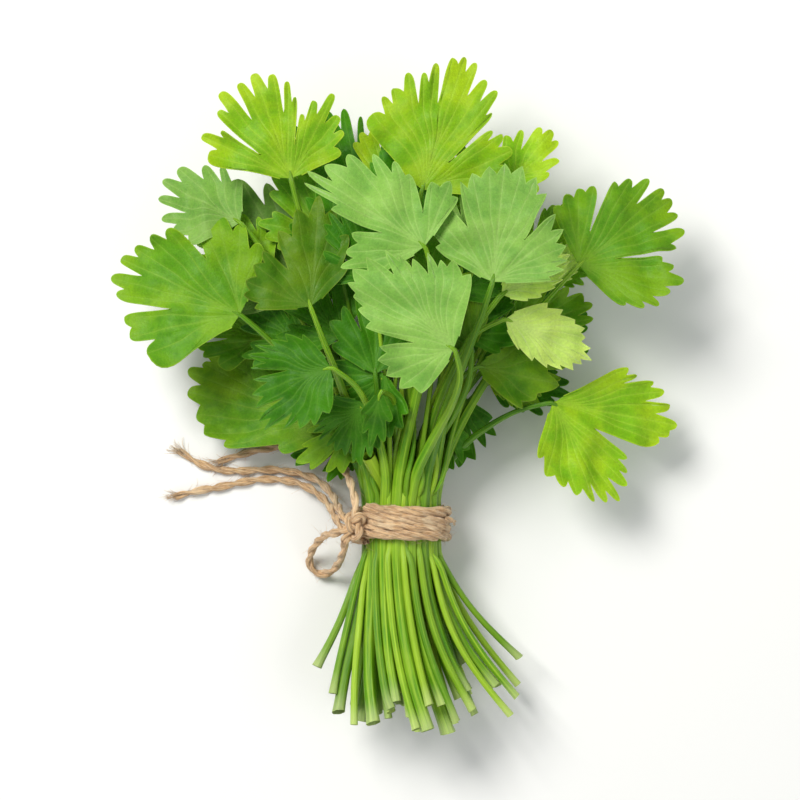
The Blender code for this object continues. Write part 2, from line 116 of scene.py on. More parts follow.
# The outlines of the blades as (angle against the heading, percent of the blade's size), from the
# right margin round to the left: a notch, a tooth's tip, a notch, a tip, and so on.
OUTLINES = {
    "three_lobes": (
        (-88, 10), (-74, 52), (-68, 50), (-60, 68), (-54, 62), (-47, 76), (-41, 66), (-35, 70), (-29, 34),
        (-23, 76), (-18, 72), (-12, 92), (-7, 76), (-2, 100), (3, 90), (8, 94), (13, 74), (19, 82), (26, 36),
        (33, 66), (39, 62), (46, 77), (52, 62), (59, 68), (66, 52), (73, 54), (88, 10),
    ),
    "narrow_lobes": (
        (-70, 12), (-52, 50), (-46, 47), (-38, 68), (-31, 62), (-25, 74), (-18, 44), (-13, 84), (-8, 78),
        (-2, 100), (5, 86), (11, 90), (17, 46), (24, 78), (31, 64), (39, 72), (46, 52), (54, 54), (70, 12),
    ),
    "front_centre": (
        (-92, 10), (-78, 58), (-72, 56), (-66, 68), (-61, 62), (-57, 68), (-54, 62), (-50, 76), (-46, 60),
        (-41, 74), (-38, 70), (-35, 81), (-33, 77), (-30, 91), (-26, 72), (-22, 95), (-18, 88), (-13, 99),
        (-10, 90), (-7, 93), (-5, 85), (-3, 87), (0, 76), (3, 79), (7, 66), (11, 68), (16, 30), (23, 55),
        (28, 50), (34, 56), (40, 50), (47, 56), (54, 46), (61, 51), (68, 42), (78, 43), (96, 10),
    ),
    "upper_centre": (
        (-92, 10), (-84, 44), (-78, 42), (-71, 50), (-64, 44), (-56, 46), (-47, 24), (-38, 54), (-35, 52),
        (-31, 66), (-27, 58), (-22, 78), (-16, 62), (-11, 88), (-6, 80), (0, 94), (4, 82), (7, 102),
        (10, 74), (12, 97), (15, 68), (19, 70), (24, 32), (31, 52), (37, 48), (44, 57), (50, 51), (56, 62),
        (62, 44), (68, 45), (82, 10),
    ),
    "upper_right": (
        (-86, 10), (-78, 46), (-74, 44), (-69, 57), (-65, 50), (-60, 62), (-56, 54), (-51, 66), (-46, 58),
        (-41, 70), (-36, 62), (-31, 74), (-25, 42), (-18, 84), (-14, 78), (-10, 92), (-6, 84), (-2, 97),
        (2, 88), (6, 98), (10, 88), (14, 95), (18, 84), (22, 90), (26, 78), (30, 86), (36, 46), (42, 76),
        (46, 68), (51, 75), (55, 62), (60, 66), (65, 52), (70, 54), (84, 10),
    ),
    "front_left": (
        (-80, 12), (-66, 46), (-60, 43), (-52, 62), (-47, 56), (-41, 76), (-37, 68), (-33, 86), (-29, 72),
        (-25, 95), (-21, 74), (-17, 94), (-13, 50), (-8, 90), (-4, 76), (1, 93), (6, 82), (11, 94), (16, 60),
        (21, 95), (25, 84), (29, 98), (34, 66), (39, 82), (45, 66), (51, 74), (56, 60), (62, 66), (68, 50),
        (76, 52), (90, 12),
    ),
    "mid_left": (
        (-76, 12), (-60, 50), (-54, 48), (-46, 72), (-39, 66), (-32, 90), (-28, 84), (-23, 100), (-17, 80),
        (-11, 88), (-4, 64), (4, 74), (13, 38), (23, 64), (30, 56), (37, 62), (44, 54), (52, 61), (58, 55),
        (64, 60), (69, 46), (75, 49), (86, 12),
    ),
    "crown": (
        (-82, 10), (-67, 52), (-61, 48), (-54, 62), (-49, 56), (-43, 68), (-38, 60), (-33, 67), (-30, 57),
        (-27, 62), (-22, 26), (-18, 72), (-16, 68), (-13, 86), (-9, 74), (-5, 91), (-1, 72), (2, 97), (4, 91),
        (7, 100), (9, 93), (11, 97), (14, 62), (18, 90), (21, 76), (24, 82), (27, 60), (31, 82), (35, 70),
        (40, 75), (43, 64), (47, 69), (51, 58), (57, 64), (82, 10),
    ),
    "top_left": (
        (-82, 10), (-69, 50), (-62, 47), (-56, 62), (-51, 56), (-46, 70), (-40, 58), (-35, 82), (-30, 60),
        (-25, 73), (-21, 52), (-18, 58), (-14, 30), (-11, 74), (-9, 68), (-6, 88), (-2, 58), (2, 96), (6, 82),
        (11, 101), (15, 78), (20, 98), (25, 62), (30, 100), (35, 80), (39, 88), (45, 34), (49, 74), (52, 70),
        (56, 88), (61, 70), (66, 76), (84, 10),
    ),
    "left_shoulder": (
        (-74, 12), (-54, 48), (-46, 46), (-39, 68), (-33, 50), (-26, 76), (-18, 64), (-10, 93), (-4, 80),
        (3, 99), (9, 74), (15, 95), (20, 60), (27, 88), (33, 70), (40, 74), (46, 56), (54, 59), (72, 12),
    ),
    "far_left": (
        (-100, 10), (-84, 48), (-77, 44), (-67, 60), (-63, 56), (-56, 68), (-52, 64), (-46, 71), (-37, 42),
        (-28, 72), (-24, 70), (-19, 79), (-15, 75), (-11, 86), (-8, 80), (-4, 94), (0, 72), (5, 93), (8, 84),
        (12, 88), (17, 46), (22, 80), (28, 74), (33, 76), (38, 58), (46, 65), (84, 10),
    ),
    "far_right": (
        (-92, 12), (-79, 52), (-76, 50), (-71, 64), (-68, 60), (-64, 74), (-60, 66), (-54, 77), (-51, 72),
        (-45, 87), (-41, 74), (-37, 80), (-34, 68), (-31, 70), (-28, 30), (-25, 84), (-22, 80), (-17, 95),
        (-12, 68), (-7, 98), (-4, 91), (0, 101), (3, 93), (6, 98), (10, 72), (15, 95), (19, 80), (23, 86),
        (27, 74), (30, 76), (35, 27), (43, 66), (49, 60), (54, 62), (58, 56), (64, 58), (70, 50), (76, 52),
        (88, 12),
    ),
    "right_shoulder": (
        (-70, 14), (-48, 46), (-40, 43), (-30, 62), (-26, 58), (-21, 80), (-13, 62), (-7, 97), (-3, 91),
        (2, 102), (6, 88), (11, 94), (17, 58), (24, 86), (30, 66), (37, 73), (43, 54), (52, 58), (74, 14),
    ),
    "broad_serrate": (
        (-62, 12), (-46, 34), (-41, 33), (-34, 52), (-30, 50), (-25, 68), (-22, 65), (-18, 80), (-15, 76),
        (-12, 90), (-9, 85), (-6, 97), (-4, 91), (-1, 103), (2, 92), (5, 98), (8, 88), (11, 92), (13, 82),
        (16, 85), (19, 73), (23, 75), (27, 60), (32, 62), (37, 46), (43, 47), (62, 12),
    ),
    "folded": (
        (-60, 14), (-34, 70), (-27, 66), (-19, 80), (-13, 78), (-2, 101), (5, 84), (16, 86), (26, 66),
        (36, 68), (58, 14),
    ),
    "drooping": (
        (-60, 10), (-30, 50), (-22, 46), (-14, 82), (-8, 72), (-3, 101), (4, 74), (12, 86), (20, 48),
        (28, 52), (60, 10),
    ),
    "low_left": (
        (-62, 10), (-46, 58), (-40, 56), (-33, 74), (-28, 72), (-22, 86), (-17, 84), (-12, 100), (-9, 93),
        (-7, 99), (-5, 95), (-2, 103), (1, 92), (5, 100), (9, 90), (13, 92), (17, 82), (21, 83), (24, 69),
        (27, 70), (33, 36), (37, 37), (60, 10),
    ),
    "low_right": (
        (-84, 9), (-74, 45), (-68, 42), (-62, 57), (-56, 55), (-50, 65), (-46, 62), (-42, 74), (-38, 69),
        (-34, 83), (-32, 68), (-28, 87), (-25, 80), (-22, 92), (-19, 72), (-14, 87), (-11, 74), (-8, 81),
        (-5, 70), (-2, 73), (2, 37), (14, 91), (16, 90), (19, 98), (21, 95), (24, 101), (28, 84), (32, 97),
        (35, 76), (39, 91), (42, 81), (45, 84), (48, 58), (51, 72), (54, 62), (58, 64), (66, 10),
    ),
}

Leaf = namedtuple("Leaf", "name tone base heading pitch roll size outline bend cup seed roundness")

LEAVES = (
    Leaf("front_centre", "soft", (18.7, 15.8, 66), 156, 4, -6, 41, "front_centre", 20, -14, 8, 0.35),
    Leaf("upper_centre", "soft", (9.7, 48, 59), 140, -2, 6, 44, "upper_centre", 16, 10, 7, 0.6),
    Leaf("upper_right", "soft", (31, 36.8, 60), 78, -5, -6, 40, "upper_right", 11, -12, 11, 0.25),
    Leaf("front_left", "deep", (-20, 10, 51), 196, -8, 8, 29, "front_left", 22, 14, 5, 0.35),
    Leaf("mid_left", "mid", (-26.5, 29.4, 49), 108, -2, 10, 36, "mid_left", 14, 12, 6, 0.5),
    Leaf("crown", "lime", (9, 67, 44), 66, 2, -4, 46, "crown", 10, 8, 9, 0.85),
    Leaf("top_left", "lime", (-33, 70.6, 42), 98, 3, 6, 36, "top_left", 10, 10, 1, 1.0),
    Leaf("left_shoulder", "soft", (-49.7, 57, 35), 148, -6, 6, 30, "left_shoulder", 12, 8, 2, 0.8),
    Leaf("far_left", "mid", (-49.6, 27.2, 38), 158, -4, 4, 48.5, "far_left", 16, 16, 3, 0.85),
    Leaf("far_right", "mid", (59.4, 43.2, 37), 36, -4, -6, 39, "far_right", 14, 10, 12, 0.8),
    Leaf("right_shoulder", "lime", (35.2, 66.8, 40), 50, 0, -6, 25, "right_shoulder", 12, 8, 10, 0.85),
    Leaf("right_mid", "pale", (35.6, 25.6, 45), -23, -10, -8, 31, "broad_serrate", 16, 10, 13, 0.2),
    Leaf("right_edge", "pale", (34.2, 33.2, 51), 32, -8, -4, 25, "broad_serrate", 14, 8, 16, 0.3),
    Leaf("low_left", "mid", (-19.2, -11.0, 16.6), 159, -5, 4, 53, "low_left", 14, 10, 4, 0.8),
    Leaf("right_fold", "mid", (27.0, 10.6, 34), -10, -8, -6, 28, "folded", 12, 14, 14, 0.3),
    Leaf("low_right", "lime", (51.6, -1.2, 28), -34, -8, -6, 42, "low_right", 16, 8, 15, 0.75),
    Leaf("back_left", "soft", (-28, 34, 27.5), 122, 0, 4, 43, "three_lobes", 8, 10, 17, 0.6),
    Leaf("inner_right", "mid", (25, 16, 39.5), 118, -4, -4, 24, "narrow_lobes", 14, 8, 22, 0.5),
    Leaf("young_front", "deep", (-4.5, 2, 48), -98, -16, 0, 19, "drooping", 20, 30, 18, 0.6),
    Leaf("hidden_centre", "deep", (-6, 8, 41), 92, -5, 2, 31, "narrow_lobes", 10, 8, 20, 0.6),
    Leaf("hanging_right", "deep", (21, 1, 17), -86, -14, -6, 25, "narrow_lobes", 14, 8, 19, 0.4),
    Leaf("crown_behind", "lime", (-1, 66, 35), 114, -2, 4, 22, "right_shoulder", 10, 8, 23, 0.8),
    Leaf("under_centre", "deep", (8, 32, 0.25), 78, 0, 0, 42, "three_lobes", 0, 0, 24, 0.8),
    Leaf("under_left", "deep", (-27, 25, 6), 134, -3, 4, 40, "three_lobes", 6, 8, 25, 0.8),
    Leaf("under_right", "deep", (27, 15, 7), 20, -3, -4, 40, "far_right", 6, 8, 26, 0.8),
    Leaf("under_crown", "deep", (-10, 60, 17), 98, -4, 3, 38, "top_left", 12, 8, 27, 0.8),
)

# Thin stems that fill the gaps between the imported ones: where each passes the neck, across and up
# from its middle, its length below the neck, its thickness and how far its cut end leans outwards.
# The last entry is the leaf that each carries inside the bunch.
BETWEEN = (
    ((-11.6, 3.5), 55.0, 2.3, 0.0,
     Leaf("fill_left", "deep", (-30, 18, 26), 146, -6, 6, 26, "three_lobes", 14, 10, 41, 0.6)),
    ((-12.2, -1.5), 47.0, 2.6, -2.0,
     Leaf("fill_low_left", "deep", (-14, -12, 14), 200, -8, 4, 22, "three_lobes", 14, 10, 42, 0.4)),
    ((-10.6, 6.0), 64.5, 2.3, 0.0,
     Leaf("fill_shoulder", "mid", (-40, 41, 32), 142, -4, 6, 28, "left_shoulder", 12, 10, 43, 0.7)),
    ((-7.0, 9.2), 59.0, 2.5, 0.5,
     Leaf("fill_twig", "deep", (-19, 47, 39), 112, 0, 18, 28, "mid_left", 12, 12, 44, 0.5)),
    ((-3.6, 10.4), 65.5, 2.4, 0.0,
     Leaf("fill_middle", "deep", (-7, 38, 45), 108, -2, 6, 27, "far_right", 12, 10, 45, 0.6)),
    ((-0.4, 11.0), 58.0, 2.5, 0.0,
     Leaf("fill_crown", "deep", (2, 55, 38), 96, 0, -6, 28, "three_lobes", 12, 10, 46, 0.7)),
    ((2.8, 10.8), 63.5, 2.3, 1.0,
     Leaf("fill_behind", "mid", (8, 31, 46), 74, -4, -4, 25, "three_lobes", 14, 10, 47, 0.5)),
    ((5.8, 9.8), 60.0, 2.5, 1.0,
     Leaf("fill_gap", "deep", (17, 33, 43), 72, -4, 0, 27, "far_right", 14, 10, 48, 0.6)),
    ((8.6, 8.0), 62.0, 2.3, 1.5,
     Leaf("fill_right", "soft", (24, 47, 42), 66, -2, -8, 26, "upper_right", 12, 10, 49, 0.4)),
    ((10.8, 5.6), 56.5, 2.4, 0.0,
     Leaf("fill_edge", "pale", (43, 37, 33), 34, -6, -4, 22, "broad_serrate", 14, 10, 50, 0.3)),
    ((12.2, 1.8), 44.0, 2.1, 18.0,
     Leaf("fill_fold", "lime", (31, 6, 24), -16, -8, -8, 16, "broad_serrate", 14, 10, 51, 0.5)),
    ((11.8, -1.6), 53.5, 2.3, 8.0,
     Leaf("fill_low_right", "deep", (16, -6, 21), -90, -12, 0, 20, "narrow_lobes", 14, 10, 52, 0.5)),
    ((-6.2, 4.0), 63.0, 2.5, 0.0,
     Leaf("fill_nook", "deep", (-17, 20, 36), 134, -4, 4, 27, "three_lobes", 14, 10, 53, 0.6)),
    ((-1.8, 5.6), 67.0, 2.6, 0.0,
     Leaf("fill_core", "deep", (2, 22, 38), 92, -2, 0, 25, "narrow_lobes", 12, 10, 54, 0.6)),
    ((3.4, 5.2), 65.0, 2.5, 0.5,
     Leaf("fill_core_right", "deep", (21, 20, 36), 52, -4, -4, 27, "three_lobes", 14, 10, 55, 0.6)),
    ((7.2, 3.6), 62.5, 2.5, 1.0,
     Leaf("fill_under_right", "mid", (32, 12, 25), 4, -6, -4, 25, "far_right", 14, 10, 56, 0.6)),
    ((-9.2, 0.4), 59.0, 2.5, 0.0,
     Leaf("fill_under_left", "mid", (-12, -8, 24), 214, -12, 4, 24, "narrow_lobes", 16, 10, 57, 0.6)),
    ((0.6, -0.6), 64.0, 2.5, 0.0,
     Leaf("fill_back", "mid", (18, 56, 33), 70, 0, -4, 27, "top_left", 12, 10, 58, 0.7)),
    ((5.4, -3.0), 60.5, 2.5, 0.5,
     Leaf("fill_back_right", "mid", (40, 22, 22), 22, -4, -4, 28, "three_lobes", 14, 10, 59, 0.7)),
    ((-5.2, -4.2), 61.5, 2.5, 0.0,
     Leaf("fill_back_left", "mid", (-23, 52, 32), 120, 0, 6, 28, "three_lobes", 12, 10, 60, 0.7)),
    ((9.4, -4.6), 57.5, 2.5, 1.0,
     Leaf("fill_far_right", "mid", (44, 44, 24), 44, -2, -4, 26, "far_right", 12, 10, 61, 0.7)),
    ((0.4, -7.6), 61.0, 2.5, 0.0,
     Leaf("fill_far_left", "mid", (-42, 20, 16), 164, -2, 4, 28, "far_left", 12, 10, 62, 0.7)),
    ((-3.4, 8.0), 62.0, 2.4, 0.0,
     Leaf("fill_dark", "deep", (-3, 8, 40), 230, -16, 6, 27, "three_lobes", 16, 10, 63, 0.6)),
    ((-6.4, 7.0), 60.5, 2.4, 0.0,
     Leaf("fill_dark_low", "deep", (-10, -1, 40), 238, -14, 6, 22, "front_left", 16, 10, 64, 0.5)),
)

# Painted light and shade on whole blades: some are painted brighter than the others of their tone where light
# falls on them, and darker where they lie in shade. The rest vary a little by chance.
PAINTED_LIGHT_AND_SHADE = {
    "mid_left": 0.62, "low_left": 0.88, "back_left": 0.68, "right_fold": 0.80, "inner_right": 0.70,
    "left_shoulder": 0.90, "far_left": 0.96, "young_front": 0.80, "front_left": 0.92,
    "low_right": 1.16, "right_shoulder": 1.16, "top_left": 1.05, "crown": 1.05,
}
OTHER_BRIGHTNESS = (0.92, 1.08)


# ---------------------------------------------------------------- paths


def smooth_through(points, step):
    """Points about step apart on a smooth curve through the given ones (Catmull-Rom)."""
    known = [Vector(p) for p in points]
    ends = [2 * known[0] - known[1], *known, 2 * known[-1] - known[-2]]
    made = []
    for a, b, c, d in zip(ends, ends[1:], ends[2:], ends[3:]):
        count = max(1, round((c - b).length / step))
        for i in range(count):
            t = i / count
            made.append(
                0.5 * (2 * b + (c - a) * t + (2 * a - 5 * b + 4 * c - d) * t**2
                       + (3 * b - a - 3 * c + d) * t**3)
            )
    return [*made, known[-1]]


def travel(path):
    """How far along the path each of its points is."""
    far = [0.0]
    for a, b in zip(path, path[1:]):
        far.append(far[-1] + (b - a).length)
    return far


def side_vectors(path):
    """Two vectors across the path at each of its points, which turn no more than the path does."""
    ahead = [*path[1:], 2 * path[-1] - path[-2]]
    behind = [2 * path[0] - path[1], *path[:-1]]
    ways = [(b - a).normalized() for a, b in zip(behind, ahead)]
    across = ways[0].orthogonal().normalized()
    made = []
    for way in ways:
        across = (across - way * across.dot(way)).normalized()
        made.append((across, way.cross(across)))
    return made


def heading_vector(heading, pitch=0.0):
    across = math.cos(math.radians(pitch))
    turn = math.radians(heading)
    return Vector((across * math.cos(turn), across * math.sin(turn), math.sin(math.radians(pitch))))


def eased(low, high, value):
    """0 below low, 1 above high, and smooth between them."""
    t = min(1.0, max(0.0, (value - low) / (high - low)))
    return t * t * (3 - 2 * t)


# ---------------------------------------------------------------- pieces

# The pit in a hollow end, as shares of the radius, and how a cut end's paleness is marked.
PIT_WALL = 0.18
PIT_DEPTH = 0.7
CUT_REACH = 9.0
FULL_CUT = 1.4
SHARP_EDGE = 62


def finished(name, shape, finishes, stands_for=()):
    """Makes the bmesh a piece of the bunch, with its materials and what it replaces."""
    mesh = bpy.data.meshes.new(name)
    shape.to_mesh(mesh)
    shape.free()
    for finish in finishes:
        mesh.materials.append(finish)
    mesh.shade_smooth()
    mesh.set_sharp_from_angle(angle=math.radians(SHARP_EDGE))
    piece = bpy.data.objects.new(name, mesh)
    bpy.context.scene.collection.objects.link(piece)
    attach(piece, "root")
    if stands_for:
        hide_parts(*stands_for)
    return piece


def layer(shape, name):
    """A number on each vertex of the bmesh, which the materials read by this name."""
    return shape.verts.layers.float.get(name) or shape.verts.layers.float.new(name)


def faces_round(grid):
    """The faces round the grid's vertices, each of them once and in the same order on every run."""
    return list(dict.fromkeys(face for vertex in grid for face in vertex.link_faces))


def add_tube(shape, path, radius_at, sides, marks=(), hollow=0.0, slant=0.0):
    """A closed tube along a path in millimetres: a grid wrapped round it and joined at its seam.
    radius_at(share round, length along, share along) is its radius, and each mark is a number at
    (share round, length along). Its UV map holds the share round and the length in centimetres.
    hollow sinks a pit of that share of the radius into its first end, and slant tilts that end."""
    coat = shape.loops.layers.uv.get("UVMap") or shape.loops.layers.uv.new("UVMap")
    marked = [(layer(shape, name), value) for name, value in marks]
    end_mark = layer(shape, "cut")
    rows = len(path) - 1
    grid = bmesh.ops.create_grid(shape, x_segments=sides, y_segments=rows, size=0.5)["verts"]
    across = side_vectors(path)
    far = travel(path)
    start_way = (path[1] - path[0]).normalized()
    cells = faces_round(grid)
    spots = {}
    for vertex in grid:
        column = round((vertex.co.x + 0.5) * sides)
        row = round((vertex.co.y + 0.5) * rows)
        spots[vertex] = (column, row)
        round_share = (column % sides) / sides
        angle = 2 * math.pi * round_share
        radius = radius_at(round_share, far[row], far[row] / far[-1])
        out = across[row][0] * math.cos(angle) + across[row][1] * math.sin(angle)
        tilt = start_way * (slant * radius * math.cos(angle)) if row == 0 else Vector()
        vertex.co = (path[row] + out * radius + tilt) * MM
        for number, value in marked:
            vertex[number] = value(round_share, far[row]) if callable(value) else value
        vertex[end_mark] = max(0.0, 1.0 - far[row] / CUT_REACH)
    for loop in [loop for face in cells for loop in face.loops]:
        column, row = spots[loop.vert]
        loop[coat].uv = (column / sides, far[row] / 10.0)
    ends = [e for e in dict.fromkeys(e for f in cells for e in f.edges)
            if e.is_boundary and spots[e.verts[0]][1] == spots[e.verts[1]][1]]
    bmesh.ops.remove_doubles(shape, verts=grid, dist=1e-7)
    lids = bmesh.ops.holes_fill(shape, edges=[e for e in ends if e.is_valid], sides=0)["faces"]
    bmesh.ops.recalc_face_normals(shape, faces=[*cells, *lids])
    for lid in lids:
        first = (lid.calc_center_median() - path[0] * MM).length < (path[0] - path[-1]).length * MM / 2
        if not (first and hollow):
            continue
        wide = radius_at(0.0, 0.0, 0.0) * MM
        parts = []
        for thickness, depth in ((wide * (1 - hollow) * 0.8, 0.0), (wide * PIT_WALL, -wide * PIT_DEPTH)):
            parts += bmesh.ops.inset_region(
                shape, faces=[lid], thickness=thickness, depth=depth, use_even_offset=True)["faces"]
        for vertex in {v for f in (lid, *parts) for v in f.verts}:
            vertex[end_mark] = FULL_CUT


# ---------------------------------------------------------------- blades

ROOT_RADIUS = 0.55
RIM_WIDTH = 0.42
EDGE_STEP = 0.65
TURN_CHANCE = 0.6
REACH_CHANCE = 0.015
LOWEST_BLADE = 0.30
BLADE_MAP = 50.0

# A notch is a slit between lobes where it is this deep against the whole blade and its two tips.
SLIT_PERCENT = 50
SLIT_SHARE = 0.72
NOTCH_OPENNESS = 0.62
MARGIN_OPENNESS = 0.90

# How strongly the columns gather at a lobe's vein, and what keeps them from closing up there.
GATHERED = 2.4
LEAST_SPREAD = 0.12
LEAST_TURN = 0.07

# The half-widths of a lobe's midrib and of a side vein at the tip, and how much they grow.
MIDRIB = (0.20, 0.32)
SIDE_VEIN = (0.14, 0.16)

# The relief of a blade, most of it as shares of the blade's size.
KEELS = (0.05, 0.09)
LOBE_RISES = (-0.07, 0.08)
LOBE_TILTS = (-0.07, 0.07)
LOBE_WAVES = 0.022
TOOTH_RISES = (-0.034, 0.042)
CREASES = 5
CREASE_LENGTHS = (7.0, 17.0)
CREASE_SLOPE = 0.035
VEIN_GROOVE = 0.10
GROOVE_REACH = 3.2
EDGE_WAVE = 1.3
ANY_PHASE = (0.0, 6.3)

Column = namedtuple("Column", "rank lobe tooth")


def polar(angle, radius):
    return np.array((math.cos(math.radians(angle)), math.sin(math.radians(angle)))) * radius


def half_tooth(notch, tip, roundness, openness):
    """Points of a blade's edge from a notch up to a tooth's tip, and not the tip itself. The
    notch is a cusp where openness is 0, and a plain V where it is 1."""
    outward, axis = polar(notch[0], 1.0), polar(tip[0], 1.0)
    height = tip[1] - notch[1]
    half = math.radians(abs(notch[0] - tip[0])) * tip[1]
    aside = np.array((-axis[1], axis[0])) * (1 if notch[0] > tip[0] else -1)
    a, d = polar(*notch), polar(*tip)
    outward = outward * (1 - openness) + (d - a) / np.linalg.norm(d - a) * openness
    b = a + outward * height * (0.30 + 0.38 * roundness)
    c = d + aside * half * (0.12 + 0.62 * roundness) - axis * height * 0.30 * (1 - roundness)
    count = min(12, max(3, round(float(np.linalg.norm(d - a)) / EDGE_STEP)))
    made = []
    for i in range(count):
        t = i / count
        made.append((1 - t) ** 3 * a + 3 * t * (1 - t) ** 2 * b + 3 * t * t * (1 - t) * c + t**3 * d)
    return made


def blade_edge(leaf):
    """The blade's edge from its right margin round to its left, with a column of the blade for
    each point, the way and reach of each lobe's main vein, the slits on both sides of each lobe
    and the depth and reach of each tooth."""
    chance = random.Random(leaf.seed)
    known = OUTLINES[leaf.outline]
    spots = [
        (angle + chance.uniform(-TURN_CHANCE, TURN_CHANCE),
         percent / 100 * leaf.size * chance.uniform(1 - REACH_CHANCE, 1 + REACH_CHANCE))
        for angle, percent in known
    ]
    slits = [
        i for i in range(2, len(known) - 2, 2)
        if known[i][1] < min(SLIT_PERCENT, SLIT_SHARE * known[i - 1][1], SLIT_SHARE * known[i + 1][1])
    ]
    slits = [0, *slits, len(known) - 1]
    lobes = []
    for first, last in zip(slits, slits[1:]):
        middle = (spots[first][0] + spots[last][0]) / 2
        lobes.append(max(spots[first + 1:last:2], key=lambda tip: tip[1] - 0.2 * abs(tip[0] - middle)))
    edge, columns, teeth = [], [], []
    for number in range(1, len(spots), 2):
        right, tip, left = spots[number - 1:number + 2]
        lobe = sum(number > i for i in slits) - 1
        first, last = number == 1, number == len(spots) - 2
        before = half_tooth(right, tip, leaf.roundness, MARGIN_OPENNESS if first else NOTCH_OPENNESS)
        after = half_tooth(left, tip, leaf.roundness, MARGIN_OPENNESS if last else NOTCH_OPENNESS)[:0:-1]
        edge += [*before, polar(*tip), *after]
        plain = Column(0, lobe, len(teeth))
        columns += [plain] * len(before)
        columns.append(plain._replace(rank=2 if tip in lobes else 1))
        columns += [plain] * len(after)
        teeth.append((min(right[1], left[1]), tip[1]))
    edge.append(polar(*spots[-1]))
    columns.append(Column(0, len(lobes) - 1, len(teeth) - 1))
    return np.array(edge), columns, lobes, [spots[i] for i in slits], teeth


def flat_blade(leaf, rows):
    """The blade laid flat: an array of points in millimetres, one row of it for each step from
    the root to the edge and one column for each point of the edge. The columns gather along the
    main vein of their lobe near the root, as its side veins do."""
    edge, columns, lobes, slits, teeth = blade_edge(leaf)
    along = np.gradient(edge, axis=0)
    outward = np.stack([along[:, 1], -along[:, 0]], 1)
    inner = edge - outward / (np.linalg.norm(outward, axis=1)[:, None] + 1e-9) * RIM_WIDTH
    radius = np.linalg.norm(inner, axis=1)
    angle = np.degrees(np.arctan2(inner[:, 1], inner[:, 0]))
    least = LEAST_TURN * np.arange(len(angle))
    steady = np.maximum.accumulate(angle - least) + least
    way = np.array([lobes[c.lobe][0] for c in columns])
    right = np.array([slits[c.lobe][0] for c in columns])
    left = np.array([slits[c.lobe + 1][0] for c in columns])
    side = np.where(steady < way, right, left)
    near = np.array([0.55 * lobes[c.lobe][1] for c in columns])
    off = np.clip((steady - way) / (side - way), 0, 1.2)

    def gathering(far):
        return 1 + GATHERED * (1 - np.clip(far / near, 0, 1)) ** 1.5

    line = off ** (1 / gathering(radius))
    grid = np.zeros((rows + 1, len(columns), 2))
    for row in range(rows):
        t = (row / (rows - 1)) ** 0.85
        far = ROOT_RADIUS + (radius - ROOT_RADIUS) * t
        spread = line ** gathering(far) * (1 - LEAST_SPREAD) + off * LEAST_SPREAD
        turn = np.radians(way + (side - way) * spread + (angle - steady) * t**6)
        grid[row] = np.stack([np.cos(turn), np.sin(turn)], 1) * far[:, None]
    grid[rows] = edge
    return grid, columns, lobes, slits, teeth


def vein_distance(grid, columns):
    """How many vein half-widths each point is from the nearest vein. Midribs are the widest."""
    nearest = np.full(grid.shape[:2], 99.0)
    points = grid.reshape(-1, 2)
    for number, column in enumerate(columns):
        if not column.rank:
            continue
        line = grid[:-1, number]
        start, way = line[:-1], line[1:] - line[:-1]
        gap = points[:, None] - start[None]
        share = np.clip((gap * way).sum(2) / (way**2).sum(1), 0, 1)
        apart = np.linalg.norm(gap - share[..., None] * way[None], axis=2)
        taper = 1 - (np.arange(len(way))[None] + share) / len(way)
        least, growth = MIDRIB if column.rank == 2 else SIDE_VEIN
        width = least + growth * taper
        nearest = np.minimum(nearest, (apart / width).min(1).reshape(nearest.shape))
    return nearest


def relief(leaf, grid, columns, lobes, slits, teeth, veins):
    """How far each point of the blade stands off its smooth sheet, in millimetres: the fold of
    each lobe along its midrib, its lift and tilt, its teeth's own lift, the waves of its edge, and
    the swell between veins."""
    chance = random.Random(leaf.seed * 7 + 1)
    radius = np.hypot(grid[..., 0], grid[..., 1])
    angle = np.degrees(np.arctan2(grid[..., 1], grid[..., 0]))
    lift = np.zeros_like(radius)
    lobe_of = np.array([c.lobe for c in columns])
    keel = leaf.size * chance.uniform(*KEELS)
    for lobe, (way, far) in enumerate(lobes):
        right, left = slits[lobe], slits[lobe + 1]
        off = np.where(angle < way, (angle - way) / (right[0] - way), (angle - way) / (left[0] - way))
        off = np.clip(off, 0, 1.2)
        fold = np.sqrt(off**2 + 0.06) - 0.24
        slit = max(right[1], left[1])
        past = np.clip((radius - slit) / (far - slit), 0, 1.2)
        raised = chance.uniform(*LOBE_RISES) * leaf.size * past**2
        tilted = chance.uniform(*LOBE_TILTS) * leaf.size * past * np.where(angle < way, -off, off)
        waves = LOBE_WAVES * leaf.size * past * np.sin(0.12 * angle + chance.uniform(*ANY_PHASE))
        total = keel * radius / leaf.size * fold + raised + tilted + waves
        lift = np.where((lobe_of == lobe)[None], total, lift)
    tooth_of = np.array([c.tooth for c in columns])
    for tooth, (low, tip) in enumerate(teeth):
        mine = np.flatnonzero(tooth_of == tooth)
        past = np.clip((radius[:, mine] - low) / max(2.0, tip - low), 0, 1.1)
        bulge = np.sin(math.pi * np.arange(len(mine)) / len(mine))
        lift[:, mine] += chance.uniform(*TOOTH_RISES) * leaf.size * past**2 * bulge
    reach = np.clip(radius / leaf.size * 2.2, 0, 1)
    for _ in range(CREASES):
        turn = chance.uniform(0, math.pi)
        along = grid[..., 0] * math.cos(turn) + grid[..., 1] * math.sin(turn)
        length = chance.uniform(*CREASE_LENGTHS)
        phase = chance.uniform(*ANY_PHASE)
        lift = lift + reach * length * CREASE_SLOPE * np.sin(2 * math.pi * along / length + phase)
    return lift + VEIN_GROOVE * (1 - np.exp(-(veins / GROOVE_REACH) ** 2))


